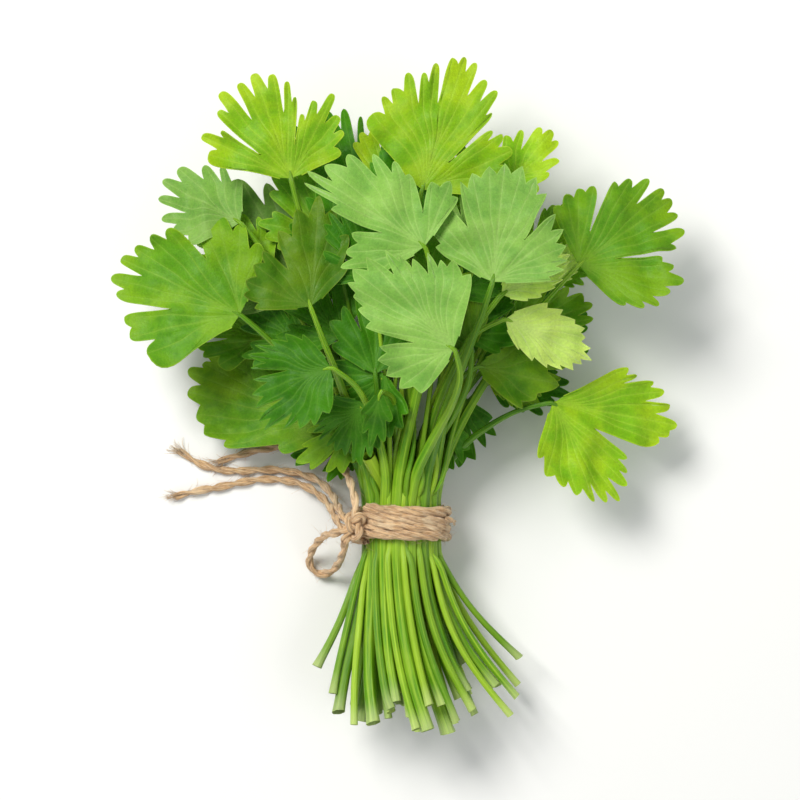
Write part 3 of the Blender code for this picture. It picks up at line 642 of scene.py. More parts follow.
def curled(leaf, x, y, stand_off):
    """The flat points bent over along the blade and cupped across it, as arrays of x, y and z."""
    flat = np.hypot(x, y)
    angle = np.arctan2(y, x)
    z = np.array(stand_off)
    if leaf.cup:
        rise = math.radians(leaf.cup) / leaf.size
        z = z + (1 - np.cos(rise * y)) / rise
        y = np.sin(rise * y) / rise
    if leaf.bend:
        droop = math.radians(leaf.bend) / leaf.size
        outward = (1 / droop) + z
        x, z = outward * np.sin(droop * x), outward * np.cos(droop * x) - 1 / droop
        z = z + EDGE_WAVE * (flat / leaf.size) ** 2 * np.sin(3.1 * angle + leaf.seed)
    return x, y, z


def blade_matrix(leaf):
    return (
        Matrix.Translation(Vector(leaf.base))
        @ Matrix.Rotation(math.radians(leaf.heading), 4, "Z")
        @ Matrix.Rotation(-math.radians(leaf.pitch), 4, "Y")
        @ Matrix.Rotation(math.radians(leaf.roll), 4, "X")
    )


def add_blade(shape, leaf, rows, thick, flatness=1.0):
    """A leaf blade: a grid wrapped into the toothed outline, shaped, placed and given its wall."""
    flat, columns, lobes, slits, teeth = flat_blade(leaf, rows)
    veins = vein_distance(flat, columns)
    stand_off = relief(leaf, flat, columns, lobes, slits, teeth, veins) * flatness
    x, y, z = curled(leaf, flat[..., 0], flat[..., 1], stand_off)
    turn = np.array(blade_matrix(leaf))
    placed = np.stack([x, y, z], 2) @ turn[:3, :3].T + turn[:3, 3]
    placed[..., 2] = np.maximum(placed[..., 2], LOWEST_BLADE)
    reach = np.hypot(flat[..., 0], flat[..., 1]) / leaf.size
    marks = {name: layer(shape, name) for name in ("vein", "rim", "reach", "under", "fresh")}
    coat = shape.loops.layers.uv.get("UVMap") or shape.loops.layers.uv.new("UVMap")
    lean = shape.verts.layers.float_vector.new("lean")
    # The blade's painted light and shade from the table, and for the rest a little random tone.
    fresh = PAINTED_LIGHT_AND_SHADE.get(leaf.name, random.Random(leaf.seed * 31).uniform(*OTHER_BRIGHTNESS))
    grid = bmesh.ops.create_grid(
        shape, x_segments=len(columns) - 1, y_segments=rows, size=0.5)["verts"]
    cells = faces_round(grid)
    spots = {}
    for vertex in grid:
        column = round((vertex.co.x + 0.5) * (len(columns) - 1))
        row = round((vertex.co.y + 0.5) * rows)
        spots[vertex] = (flat[row, column, 0], flat[row, column, 1])
        vertex.co = Vector(placed[row, column]) * MM
        vertex[marks["vein"]] = veins[row, column]
        vertex[marks["rim"]] = 1.0 if row == rows else 0.0
        vertex[marks["reach"]] = reach[row, column]
        vertex[marks["fresh"]] = fresh
    for face in cells:
        for loop in face.loops:
            loop[coat].uv = [place / BLADE_MAP + 0.5 for place in spots[loop.vert]]
    bmesh.ops.reverse_faces(shape, faces=cells)
    shape.normal_update()
    for vertex in grid:
        vertex[lean] = vertex.normal
    doubled = bmesh.ops.extrude_face_region(shape, geom=cells, use_keep_orig=True)["geom"]
    for item in doubled:
        if isinstance(item, bmesh.types.BMVert):
            item.co -= item[lean] * thick * MM
            item.co.z = max(item.co.z, TABLE_TOP)
            item[marks["under"]] = 1.0
    bmesh.ops.recalc_face_normals(shape, faces=shape.faces)
    shape.verts.layers.float_vector.remove(shape.verts.layers.float_vector["lean"])
    # The walls round the edge come in any order, and a sort gives the same mesh on every run.
    places = sorted(shape.faces, key=lambda face: face.calc_center_median()[:])
    order = {face: number for number, face in enumerate(places)}
    shape.faces.sort(key=order.get)


# ---------------------------------------------------------------- finishes


def added(tree, kind, links=(), **values):
    """A new node with its settings, and with links from other nodes' outputs into its inputs."""
    made = tree.nodes.new(kind)
    for name, value in values.items():
        setattr(made, name, value)
    for socket, source in links:
        if isinstance(source, bpy.types.NodeSocket):
            tree.links.new(source, made.inputs[socket])
        else:
            made.inputs[socket].default_value = source
    return made


def mixed(tree, share, a, b, blend="MIX"):
    """The colour between a and b, by share."""
    node = added(tree, "ShaderNodeMix", data_type="RGBA", blend_type=blend)
    for socket, source in ((0, share), (6, a), (7, b)):
        if isinstance(source, bpy.types.NodeSocket):
            tree.links.new(source, node.inputs[socket])
        else:
            node.inputs[socket].default_value = source
    return node.outputs[2]


def reckoned(tree, operation, a, b):
    """The result of a sum on two numbers."""
    return added(tree, "ShaderNodeMath", [(0, a), (1, b)], operation=operation).outputs[0]


def weighted(tree, *terms):
    """The sum of values, each times its weight."""
    total = None
    for value, weight in terms:
        part = reckoned(tree, "MULTIPLY", value, weight)
        total = reckoned(tree, "ADD", total, part) if total else part
    return total


def ranged(tree, value, low, high, out_low=0.0, out_high=1.0):
    """The value, with low to high spread smoothly over the two results."""
    return added(tree, "ShaderNodeMapRange", [
        ("Value", value), ("From Min", low), ("From Max", high),
        ("To Min", out_low), ("To Max", out_high),
    ], interpolation_type="SMOOTHSTEP").outputs["Result"]


def tinted(tree, colour, given, steps):
    """The colour turned towards the group's named tints in turn. Each step is a tint, the value that
    brings it in, the values where it starts and is strongest, and its share there."""
    for tint, value, low, high, share in steps:
        colour = mixed(tree, ranged(tree, value, low, high, 0.0, share), colour, given[tint])
    return colour


def noise(tree, place, scale, detail=3.0, roughness=0.55, distortion=0.0):
    return added(tree, "ShaderNodeTexNoise", [
        ("Vector", place), ("Scale", scale), ("Detail", detail), ("Roughness", roughness),
        ("Distortion", distortion),
    ]).outputs["Fac"]


def stretched(tree, place, scale, turn=0.0):
    """Coordinates stretched along an axis, and turned, for grain that runs one way."""
    return added(tree, "ShaderNodeMapping", [
        ("Vector", place), ("Scale", scale), ("Rotation", (0.0, 0.0, turn)),
    ]).outputs[0]


def mark(tree, name):
    return added(tree, "ShaderNodeAttribute", attribute_name=name, attribute_type="GEOMETRY").outputs["Fac"]


def started_group(name, tints, numbers=(), colours=("Color",)):
    """A node group with named tints and numbers going in, and colours, a roughness and a height
    coming out: its tree, its input node's sockets and its output node's sockets."""
    tree = bpy.data.node_groups.new(name, "ShaderNodeTree")
    for labels, way, kind in (
        (tints, "INPUT", "NodeSocketColor"),
        (numbers, "INPUT", "NodeSocketFloat"),
        (colours, "OUTPUT", "NodeSocketColor"),
        (("Roughness", "Height"), "OUTPUT", "NodeSocketFloat"),
    ):
        for label in labels:
            tree.interface.new_socket(label, in_out=way, socket_type=kind)
    return tree, tree.nodes.new("NodeGroupInput").outputs, tree.nodes.new("NodeGroupOutput").inputs


def leaf_surface_group():
    """The greens, veins, rim and fine relief of a leaf blade, with random patches of painted shade and
    painted light.
    """
    tree, given, result = started_group(
        "Leaf Surface", ("Green", "Tip", "Shade", "Vein", "Rim"), ("Vein Strength", "Tip Strength"),
        ("Color", "Glow"))
    place = tree.nodes.new("ShaderNodeTexCoord").outputs["Object"]
    broad = noise(tree, place, 70.0, 3.0)
    patch = noise(tree, place, 260.0, 4.0, 0.6)
    fine = noise(tree, place, 1400.0, 3.0, 0.6)
    cells = added(tree, "ShaderNodeTexVoronoi", [("Vector", place), ("Scale", 780.0)],
                  feature="DISTANCE_TO_EDGE").outputs["Distance"]
    vein = mark(tree, "vein")
    out = weighted(tree, (mark(tree, "reach"), 1.0), (broad, 0.5))
    tips = ranged(tree, out, 0.75, 1.35, 0.0, given["Tip Strength"])
    green = tinted(tree, mixed(tree, tips, given["Green"], given["Tip"]), given, (
        # Painted shade: random patches turned towards the Shade tint, standing in for the shade of folds and
        # dips.
        ("Shade", patch, 0.38, 0.72, 0.42),
        # Painted light: broad patches turned towards the Tip tint, standing in for parts of the blade that
        # face the light.
        ("Tip", broad, 0.42, 0.66, 0.62),
        ("Vein", cells, 0.16, 0.0, 0.10),
        ("Vein", vein, 5.0, 0.0, 0.20),
        ("Vein", vein, 1.35, 0.35, given["Vein Strength"]),
        ("Rim", mark(tree, "rim"), 0.15, 0.85, 0.55),
    ))
    # Painted light and shade: the blade's whole colour is made brighter or darker by the number on its
    # vertices.
    bright = added(tree, "ShaderNodeHueSaturation", [
        ("Color", green),
        ("Saturation", ranged(tree, mark(tree, "under"), 0.0, 1.0, 1.0, 0.86)),
        ("Value", reckoned(tree, "MULTIPLY", ranged(tree, fine, 0.2, 0.8, 0.90, 1.08), mark(tree, "fresh"))),
    ]).outputs["Color"]
    tree.links.new(bright, result["Color"])
    glow = added(tree, "ShaderNodeHueSaturation", [
        ("Color", bright), ("Hue", 0.488), ("Saturation", 1.22), ("Value", 1.25),
    ]).outputs["Color"]
    tree.links.new(glow, result["Glow"])
    tree.links.new(ranged(tree, patch, 0.3, 0.7, 0.40, 0.56), result["Roughness"])
    grooves = ranged(tree, vein, 1.35, 0.35)
    net = ranged(tree, cells, 0.16, 0.0)
    height = weighted(tree, (grooves, -0.40), (net, -0.30), (fine, 0.35), (patch, 0.9))
    tree.links.new(height, result["Height"])
    return tree


def started_finish(name, group, tints, bump_strength, bump_depth, shine):
    """A material whose Principled shader takes its colour, roughness and relief from the group, and
    the nodes that hold the group and the relief."""
    made = bpy.data.materials.new(name)
    made.use_nodes = True
    tree = made.node_tree
    shader = tree.nodes["Principled BSDF"]
    surface = added(tree, "ShaderNodeGroup", node_tree=group)
    for label, tint in tints:
        surface.inputs[label].default_value = (*tint, 1.0)
    bump = added(tree, "ShaderNodeBump", [
        ("Height", surface.outputs["Height"]), ("Strength", bump_strength), ("Distance", bump_depth)])
    for label, source in (("Base Color", surface.outputs["Color"]),
                          ("Roughness", surface.outputs["Roughness"]), ("Normal", bump.outputs[0])):
        tree.links.new(source, shader.inputs[label])
    for label, value in shine.items():
        shader.inputs[label].default_value = value
    made.diffuse_color = (*tints[0][1], 1.0)
    return made, surface, bump


def leaf_finish(name, group, green, tip, shade, vein, rim, vein_strength, tip_strength, clear):
    """A leaf blade that shines a little on its surface and lets light through its tissue."""
    tints = (("Green", green), ("Tip", tip), ("Shade", shade), ("Vein", vein), ("Rim", rim))
    made, surface, bump = started_finish(name, group, tints, 0.55, 0.00022, {"Specular IOR Level": 0.20})
    surface.inputs["Vein Strength"].default_value = vein_strength
    surface.inputs["Tip Strength"].default_value = tip_strength
    tree = made.node_tree
    through = added(tree, "ShaderNodeBsdfTranslucent", [
        ("Color", surface.outputs["Glow"]), ("Normal", bump.outputs[0])])
    blend = added(tree, "ShaderNodeMixShader", [
        (0, clear), (1, tree.nodes["Principled BSDF"].outputs[0]), (2, through.outputs[0])])
    tree.links.new(blend.outputs[0], tree.nodes["Material Output"].inputs["Surface"])
    return made


def stalk_surface_group():
    """The lengthwise ribs and juicy streaks of a stem, painted shade in the grooves between its ribs, and its
    pale cut face.
    """
    tree, given, result = started_group("Stalk Surface", ("Green", "Light", "Deep", "Cut"))
    coat = added(tree, "ShaderNodeUVMap", uv_map="UVMap").outputs[0]
    place = tree.nodes.new("ShaderNodeTexCoord").outputs["Object"]
    streaks = noise(tree, stretched(tree, coat, (14.0, 0.28, 1.0)), 1.0, 4.0, 0.62)
    fibres = noise(tree, stretched(tree, coat, (58.0, 0.5, 1.0)), 1.0, 3.0, 0.6)
    broad = noise(tree, place, 55.0, 3.0)
    speck = noise(tree, place, 1100.0, 2.0)
    rib = mark(tree, "rib")
    cut = mark(tree, "cut")
    green = tinted(tree, given["Green"], given, (
        ("Light", streaks, 0.40, 0.68, 0.85),
        ("Deep", fibres, 0.46, 0.66, 0.55),
        ("Light", fibres, 0.46, 0.34, 0.45),
        # Painted shade: darker towards the Deep tint in the grooves between the ribs.
        ("Deep", rib, 0.9, -0.6, 0.28),
        ("Light", rib, 0.3, 1.0, 0.25),
        ("Light", broad, 0.40, 0.70, 0.45),
        ("Deep", mark(tree, "fresh"), 0.0, 1.0, 0.72),
        ("Light", mark(tree, "pale"), 0.0, 1.0, 0.80),
        ("Cut", cut, 0.0, 1.0, 0.38),
        ("Cut", cut, 1.05, 1.3, 0.85),
    ))
    tree.links.new(green, result["Color"])
    tree.links.new(ranged(tree, streaks, 0.3, 0.7, 0.24, 0.42), result["Roughness"])
    height = weighted(tree, (fibres, 0.9), (streaks, 0.7), (speck, 0.18))
    tree.links.new(height, result["Height"])
    return tree


def jute_surface_group():
    """Coarse jute: long fibres that lean with the twist, painted highlights, and dark gaps that are partly
    painted shade.
    """
    tree, given, result = started_group("Jute Surface", ("Fibre", "Light", "Dark"))
    coat = added(tree, "ShaderNodeUVMap", uv_map="UVMap").outputs[0]
    place = tree.nodes.new("ShaderNodeTexCoord").outputs["Object"]
    strands = noise(tree, stretched(tree, coat, (11.0, 1.6, 1.0), 0.05), 1.0, 5.0, 0.66, 0.5)
    hairs = noise(tree, stretched(tree, coat, (34.0, 3.2, 1.0), 0.08), 1.0, 4.0, 0.62)
    broad = noise(tree, place, 160.0, 3.0)
    # The dark tint shows between the strands: partly the jute's darker fibres, partly painted shade in the
    # gaps.
    colour = tinted(tree, given["Dark"], given, (
        ("Fibre", strands, 0.36, 0.66, 1.0),
        # Painted highlights: fibres and broad patches turned towards the Light tint.
        ("Light", hairs, 0.46, 0.72, 0.85),
        ("Dark", hairs, 0.40, 0.26, 0.50),
        ("Light", broad, 0.45, 0.75, 0.45),
    ))
    tree.links.new(colour, result["Color"])
    tree.links.new(ranged(tree, hairs, 0.3, 0.7, 0.95, 0.72), result["Roughness"])
    tree.links.new(weighted(tree, (strands, 1.2), (hairs, 1.0)), result["Height"])
    return tree


# ---------------------------------------------------------------- stems

# The shape of a stem, as shares of its radius, and how far from its cut end it flares.
RIB_COUNTS = (6, 7, 8)
RIB_TWIST = 0.02
RIB_HEIGHT = 0.055
CUT_SLANT = 0.35
FLARES = (0.06, 0.30)
STALK_FLATNESS = 0.05
STALK_UNEVENNESS = 0.022
STALK_HOLLOW = 0.45
STALK_STEP = 2.2
FLARE_REACH = 3.4
RING_REACH = 5.6
THIN_STEP = 2.5
EASING_ROUNDS = 36
EASING_GAP = 0.15


def stalk_line(name):
    """The middle line of a packed stem and its radius at each point, from its rings of vertices."""
    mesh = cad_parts[name].data
    loose = sorted({tuple(round(c / MM, 3) for c in v.co) for v in mesh.vertices}, key=lambda p: p[1])
    loose = [Vector(p) for p in loose]
    line = []
    while loose:
        ring = [p for p in loose if (p - loose[0]).length < RING_REACH]
        loose = [p for p in loose if (p - loose[0]).length >= RING_REACH]
        middle = sum(ring, Vector()) / len(ring)
        line.append((middle, sum((p - middle).length for p in ring) / len(ring)))
    chain = [line.pop(0)]
    while line:
        nearest = min(line, key=lambda spot: (spot[0] - chain[-1][0]).length)
        line.remove(nearest)
        chain.append(nearest)
    return [middle for middle, _ in chain], [radius for _, radius in chain]


def between(far, lengths, values):
    """The value at that length, from values known at some lengths."""
    return float(np.interp(far, lengths, values))


def add_stalk(shape, knots, radii, seed, sides, pale=0.0):
    """A ribbed stem through the given points, slightly uneven in girth, with a slanted cut end."""
    chance = random.Random(seed)
    path = smooth_through(knots, STALK_STEP)
    lengths = travel(knots)
    scale = lengths[-1] / travel(path)[-1]
    ribs = chance.choice(RIB_COUNTS)
    twist = chance.uniform(-RIB_TWIST, RIB_TWIST)
    flat_phase = chance.uniform(*ANY_PHASE)
    bulge_phase = chance.uniform(*ANY_PHASE)
    fresh = chance.random()
    flare = chance.uniform(*FLARES)

    def rib(share, far):
        return math.cos(ribs * 2 * math.pi * share + ribs * twist * far)

    def radius_at(share, far, _):
        wide = between(far * scale, lengths, radii)
        turn = 2 * math.pi * share
        ribbed = RIB_HEIGHT * rib(share, far)
        flattened = STALK_FLATNESS * math.cos(2 * turn + flat_phase + 0.012 * far)
        uneven = STALK_UNEVENNESS * math.sin(0.16 * far + bulge_phase)
        return wide * (0.98 + ribbed + flattened + uneven + flare * math.exp(-far / FLARE_REACH))

    marks = (("rib", rib), ("fresh", fresh), ("pale", pale))
    add_tube(shape, path, radius_at, sides, marks, STALK_HOLLOW, chance.uniform(-CUT_SLANT, CUT_SLANT))


def leaf_stalk(leaf):
    """The points and radii of a leaf's stem, run on into the root of its blade."""
    knots, radii = stalk_line("stem_" + leaf.name)
    base = Vector(leaf.base)
    ahead = heading_vector(leaf.heading, leaf.pitch)
    knots[-1] = base - (base - knots[-1]).normalized() * 0.8
    knots += [base + ahead * 0.9 - Vector((0, 0, 0.25)), base + ahead * 2.6 - Vector((0, 0, 0.35))]
    radii += [0.66, 0.34]
    knots = [Vector((k.x, k.y, max(k.z, r + 0.12))) for k, r in zip(knots, radii)]
    return knots, radii


def below_neck(across, up, lean, distance):
    """A stem's place at that distance below the neck: the bunch opens, turns a little and flares."""
    share = max(0.0, (distance - NECK_HALF_HEIGHT) / (SPLAY_LENGTH - NECK_HALF_HEIGHT))
    opened = share**SPLAY_CURVE
    turn = math.radians(SPLAY_TWIST) * opened
    turned = across * math.cos(turn) + up * math.sin(turn)
    raised = up * math.cos(turn) - across * math.sin(turn)
    flare = SPLAY_WIDE - 1 + SPLAY_FLARE * abs(turned / NECK_WIDE) ** 3
    return Vector((
        NECK.x + SPLAY_SHIFT[0] * opened + turned * (1 + flare * opened) + lean * share**2,
        NECK.y - distance,
        NECK.z + SPLAY_SHIFT[1] * opened + raised * (1 + (SPLAY_DEEP - 1) * opened),
    ))


def thin_stem_line(across, up, below, lean, leaf):
    """A thin stem's middle line from its cut end, through the neck, to the root of its leaf."""
    count = round((below + NECK_HALF_HEIGHT) / THIN_STEP)
    line = [
        below_neck(across, up, lean, below - (below + NECK_HALF_HEIGHT) * i / count)
        for i in range(count + 1)
    ]
    base = Vector(leaf.base)
    start = line[-1]
    far = (base - start).length
    leave = Vector((0.012 * across, 1.0, 0.012 * up)) * far * 0.85
    ahead = heading_vector(leaf.heading, leaf.pitch)
    arrive = ((base - NECK).normalized() + ahead).normalized() * far * 0.85
    count = max(4, round(far / THIN_STEP))
    for i in range(1, count + 1):
        t = i / count
        line.append((2 * t**3 - 3 * t**2 + 1) * start + (t**3 - 2 * t**2 + t) * leave
                    + (3 * t**2 - 2 * t**3) * base + (t**3 - t**2) * arrive)
    return line


def eased_apart(line, radius, others):
    """The line moved sideways until its stem no longer runs through the others, and smoothed. The
    others are points with the radius of their stem, and the line's last points stay in place."""
    points = np.array([tuple(p) for p in line])
    free = np.clip((len(points) - 1 - np.arange(len(points))) / 12, 0, 1)[:, None]
    centres, girths = others[:, :3], others[:, 3]
    neck = np.abs(points[:, 1] - NECK.y) < NECK_HALF_HEIGHT + 2.5
    for _ in range(EASING_ROUNDS):
        apart = points[:, None] - centres[None]
        apart[..., 1] *= 1.6
        far = np.linalg.norm(apart, axis=2)
        deep = np.clip(girths[None] + radius + EASING_GAP - far, 0, None)
        push = (apart[..., [0, 2]] / (far[..., None] + 1e-6) * deep[..., None])
        strongest = np.abs(deep).argmax(1)
        move = push[np.arange(len(points)), strongest] * 0.6
        points[:, [0, 2]] += move * free
        smooth = points.copy()
        smooth[1:-1] = (points[:-2] + 2 * points[1:-1] + points[2:]) / 4
        points[1:-1] = smooth[1:-1]
        aside = (points[:, 0] - NECK.x) / (NECK_WIDE - radius)
        out = np.hypot(aside, (points[:, 2] - NECK.z) / (NECK_DEEP - radius))
        tight = neck & (out > 1)
        points[tight, 0] = NECK.x + (points[tight, 0] - NECK.x) / out[tight]
        points[tight, 2] = NECK.z + (points[tight, 2] - NECK.z) / out[tight]
        points[:, 2] = np.maximum(points[:, 2], radius + EASING_GAP)
    return [Vector(p) for p in points]


# ---------------------------------------------------------------- twine

# How far the plies of a strand lie from its middle and how thick they are, as shares of the
# strand's thickness, by their number.
PLY_ORBITS = {2: 0.22, 3: 0.26}
PLY_GIRTHS = {2: 0.31, 3: 0.27}
STRAND_SIDES = 9
TAIL_PITCH = 15.0
HAIR_FLOOR = 0.08
BAND_STEPS = 110


def add_strand(shape, path, thick, plies, pitch, seed, fray=0.0):
    """A twisted strand along a path in millimetres: plies of fibre that wind round each other.
    fray thins and spreads the plies over that many millimetres before the strand's last end."""
    chance = random.Random(seed)
    far = travel(path)
    across = side_vectors(path)
    orbit = thick * PLY_ORBITS[plies]
    girth = thick * PLY_GIRTHS[plies]
    for ply in range(plies):
        phase = 2 * math.pi * ply / plies
        wobble = [chance.uniform(*ANY_PHASE) for _ in range(4)]
        line = []
        for row, point in enumerate(path):
            turn = phase + 2 * math.pi * far[row] / pitch
            loose = 1 + 0.16 * math.sin(far[row] * 0.55 + wobble[0])
            if fray:
                loose += 0.30 * eased(far[-1] - fray, far[-1], far[row])
            out = across[row][0] * math.cos(turn) + across[row][1] * math.sin(turn)
            spot = point + out * orbit * loose
            line.append(Vector((spot.x, spot.y, max(spot.z, girth + 0.2))))

        def radius_at(share, along, _, wobble=wobble):
            lean = 2 * math.pi * share
            ends = 1 - 0.35 * eased(far[-1] - fray, far[-1], along) if fray else 1.0
            return girth * ends * (
                1 + 0.09 * math.sin(5 * lean + along * 1.5 + wobble[1])
                + 0.07 * math.sin(3 * lean - along * 0.9 + wobble[2])
                + 0.07 * math.sin(along * 0.8 + wobble[3]))

        add_tube(shape, line, radius_at, STRAND_SIDES)


def wrap_point(turn, swell=0.0):
    """The middle of the twine after so many turns round the neck."""
    angle = math.radians(KNOT_ANGLE) + 2 * math.pi * turn
    wide = NECK_WIDE + TWINE / 2 + WRAP_GAP + swell
    deep = NECK_DEEP + TWINE / 2 + WRAP_GAP + swell
    return Vector((
        NECK.x + wide * math.cos(angle),
        NECK.y + TURN_PITCH * (turn - TURNS / 2),
        NECK.z + deep * math.sin(angle),
    ))


def add_hair(shape, start, way, length, chance, radius=0.055):
    """A stray fibre, three-sided and curved."""
    bend = Vector((chance.gauss(0, 1), chance.gauss(0, 1), chance.gauss(0, 0.6))) * 0.55
    points = []
    spot = Vector(start)
    for i in range(5):
        points.append(Vector((spot.x, spot.y, max(spot.z, HAIR_FLOOR))))
        spot = spot + (way + bend * (i / 4)).normalized() * (length / 4)
    add_tube(shape, points, lambda share, far, part: radius * (1 - 0.6 * part), 3)


# ---------------------------------------------------------------- settings


def colour_choice(name, description, value):
    return FloatVectorProperty(
        name=name, description=description, default=value, size=3, subtype="COLOR", min=0.0, max=1.0)


class CorianderLeafSettings(bpy.types.PropertyGroup):
    thickness: FloatProperty(
        name="Blade thickness", description="How thick each leaf blade is",
        default=0.00026, min=0.0001, max=0.001, unit="LENGTH")
    rows: IntProperty(
        name="Blade rows", description="How many steps each blade has from its root to its edge",
        default=18, min=6, max=40)
    clear: FloatProperty(
        name="Light let through", description="The share of the light that passes through a blade",
        default=0.36, min=0.0, max=1.0, subtype="FACTOR")
    # Painted light: the soft green is painted lighter for the matt leaves at the front, which face the light.
    soft: colour_choice("Soft green", "Matt leaves at the front", (0.255, 0.51, 0.085))
    mid: colour_choice("Mid green", "Leaves at the sides", (0.15, 0.41, 0.014))
    # Partly painted light: the lime green is yellower and lighter for the thin young leaves at the crown, and
    # for the light that shines through them from behind.
    lime: colour_choice("Lime green", "Thin young leaves at the crown", (0.23, 0.49, 0.010))
    # Painted shade: the deep green is the leaf green darkened for blades that lie in the shade inside the
    # bunch.
    deep: colour_choice("Deep green", "Leaves inside the bunch", (0.050, 0.24, 0.004))
    pale: colour_choice("Pale green", "Leaves that show their pale side", (0.68, 0.88, 0.21))


class CorianderStemSettings(bpy.types.PropertyGroup):
    sides: IntProperty(
        name="Sides", description="How many sides each stem has round it", default=28, min=8, max=64)
    green: colour_choice("Stem green", "The stems' own green", (0.150, 0.385, 0.005))
    light: colour_choice("Stem light", "The ribs and the juicy streaks", (0.45, 0.67, 0.040))
    # The stem deep tint is both the stems' darker streaks and the painted shade in the grooves between ribs.
    deep: colour_choice("Stem deep", "The grooves between ribs", (0.025, 0.15, 0.002))
    cut: colour_choice("Cut face", "The wet face of a cut end", (0.70, 0.74, 0.36))


class CorianderTwineSettings(bpy.types.PropertyGroup):
    turns: FloatProperty(
        name="Turns", description="How many times the twine goes round the neck",
        default=4.0, min=1.0, max=8.0)
    hairs: IntProperty(
        name="Stray fibres", description="How many loose fibres stand off the twine",
        default=900, min=0, max=2000)
    fibre: colour_choice("Jute", "The twine's own brown", (0.84, 0.54, 0.27))
    # The jute light tint is painted highlight, and the jute dark tint partly painted shade in the gaps
    # between strands.
    light: colour_choice("Jute light", "Fibres that catch the light", (0.96, 0.80, 0.54))
    dark: colour_choice("Jute dark", "The gaps between strands", (0.38, 0.20, 0.09))


class CorianderStageSettings(bpy.types.PropertyGroup):
    floor: colour_choice("Floor", "The pale floor", (0.86, 0.86, 0.84))
    camera_height: FloatProperty(
        name="Camera height", description="How high the camera hangs over the table",
        default=0.935, min=0.2, max=5.0, unit="LENGTH")
    lens: FloatProperty(
        name="Lens", description="The camera's focal length", default=125.5, min=20.0, max=400.0,
        subtype="DISTANCE_CAMERA")
    key_power: FloatProperty(
        name="Key light", description="Power of the large soft light", default=12.5, min=0.0, max=200.0,
        unit="POWER")
    fill_power: FloatProperty(
        name="Fill light", description="Power of the light from the other side", default=2.4, min=0.0,
        max=200.0, unit="POWER")
    sky: FloatProperty(
        name="Room light", description="Strength of the even light of the room", default=0.36, min=0.0,
        max=5.0)


def leaf_finishes():
    """The leaf materials by tone, made once."""
    known = {tone: bpy.data.materials.get("leaf_" + tone + "_finish") for tone in LEAF_TINTS}
    if all(known.values()):
        return known
    settings = bpy.context.scene.coriander_leaves
    group = leaf_surface_group()
    return {
        tone: leaf_finish("leaf_" + tone + "_finish", group, tuple(getattr(settings, tone)), *tints,
                          settings.clear)
        for tone, tints in LEAF_TINTS.items()
    }


# For each tone: the tint of its tips, which its patches of painted light also turn towards, the tint of its
# patches of painted shade, its veins and its rim, how strongly the veins show and how far the tips turn.
LEAF_TINTS = {
    # Painted light: the soft tints are lighter for the front leaves that face the light.
    "soft": ((0.38, 0.62, 0.13), (0.11, 0.33, 0.05), (0.42, 0.64, 0.17), (0.48, 0.70, 0.18), 0.46, 0.40),
    "mid": ((0.32, 0.56, 0.012), (0.05, 0.24, 0.008), (0.30, 0.54, 0.05), (0.46, 0.66, 0.05), 0.42, 0.80),
    # Partly painted light: the lime tints are yellower and lighter for young crown leaves, and for light
    # shining through them from behind.
    "lime": ((0.45, 0.62, 0.014), (0.12, 0.34, 0.008), (0.42, 0.62, 0.05), (0.58, 0.70, 0.05), 0.40, 0.85),
    # Painted shade: the deep tone's tints are darkened for blades in the shade inside the bunch.
    "deep": ((0.10, 0.36, 0.006), (0.016, 0.12, 0.004), (0.15, 0.40, 0.03), (0.22, 0.48, 0.03), 0.44, 0.40),
    "pale": ((0.76, 0.92, 0.20), (0.44, 0.68, 0.12), (0.70, 0.84, 0.30), (0.80, 0.90, 0.32), 0.38, 0.60),
}


def shared_finish(name, surface_group, settings, labels, bump_strength, bump_depth, shine):
    """The material of that name, made once, with the group's tints read from the settings."""
    known = bpy.data.materials.get(name)
    if known:
        return known
    tints = [(label, tuple(getattr(settings, label.lower()))) for label in labels]
    return started_finish(name, surface_group(), tints, bump_strength, bump_depth, shine)[0]


def stem_finish():
    return shared_finish(
        "stem_finish", stalk_surface_group, bpy.context.scene.coriander_stems,
        ("Green", "Light", "Deep", "Cut"), 0.8, 0.00024,
        {"Specular IOR Level": 0.34, "Subsurface Weight": 0.12, "Subsurface Radius": (0.5, 1.0, 0.15),
         "Subsurface Scale": 0.0012})


def twine_finish():
    return shared_finish(
        "twine_finish", jute_surface_group, bpy.context.scene.coriander_twine,
        ("Fibre", "Light", "Dark"), 0.9, 0.0004,
        {"Specular IOR Level": 0.25, "Sheen Weight": 0.25, "Sheen Roughness": 0.5})


# ---------------------------------------------------------------- operators


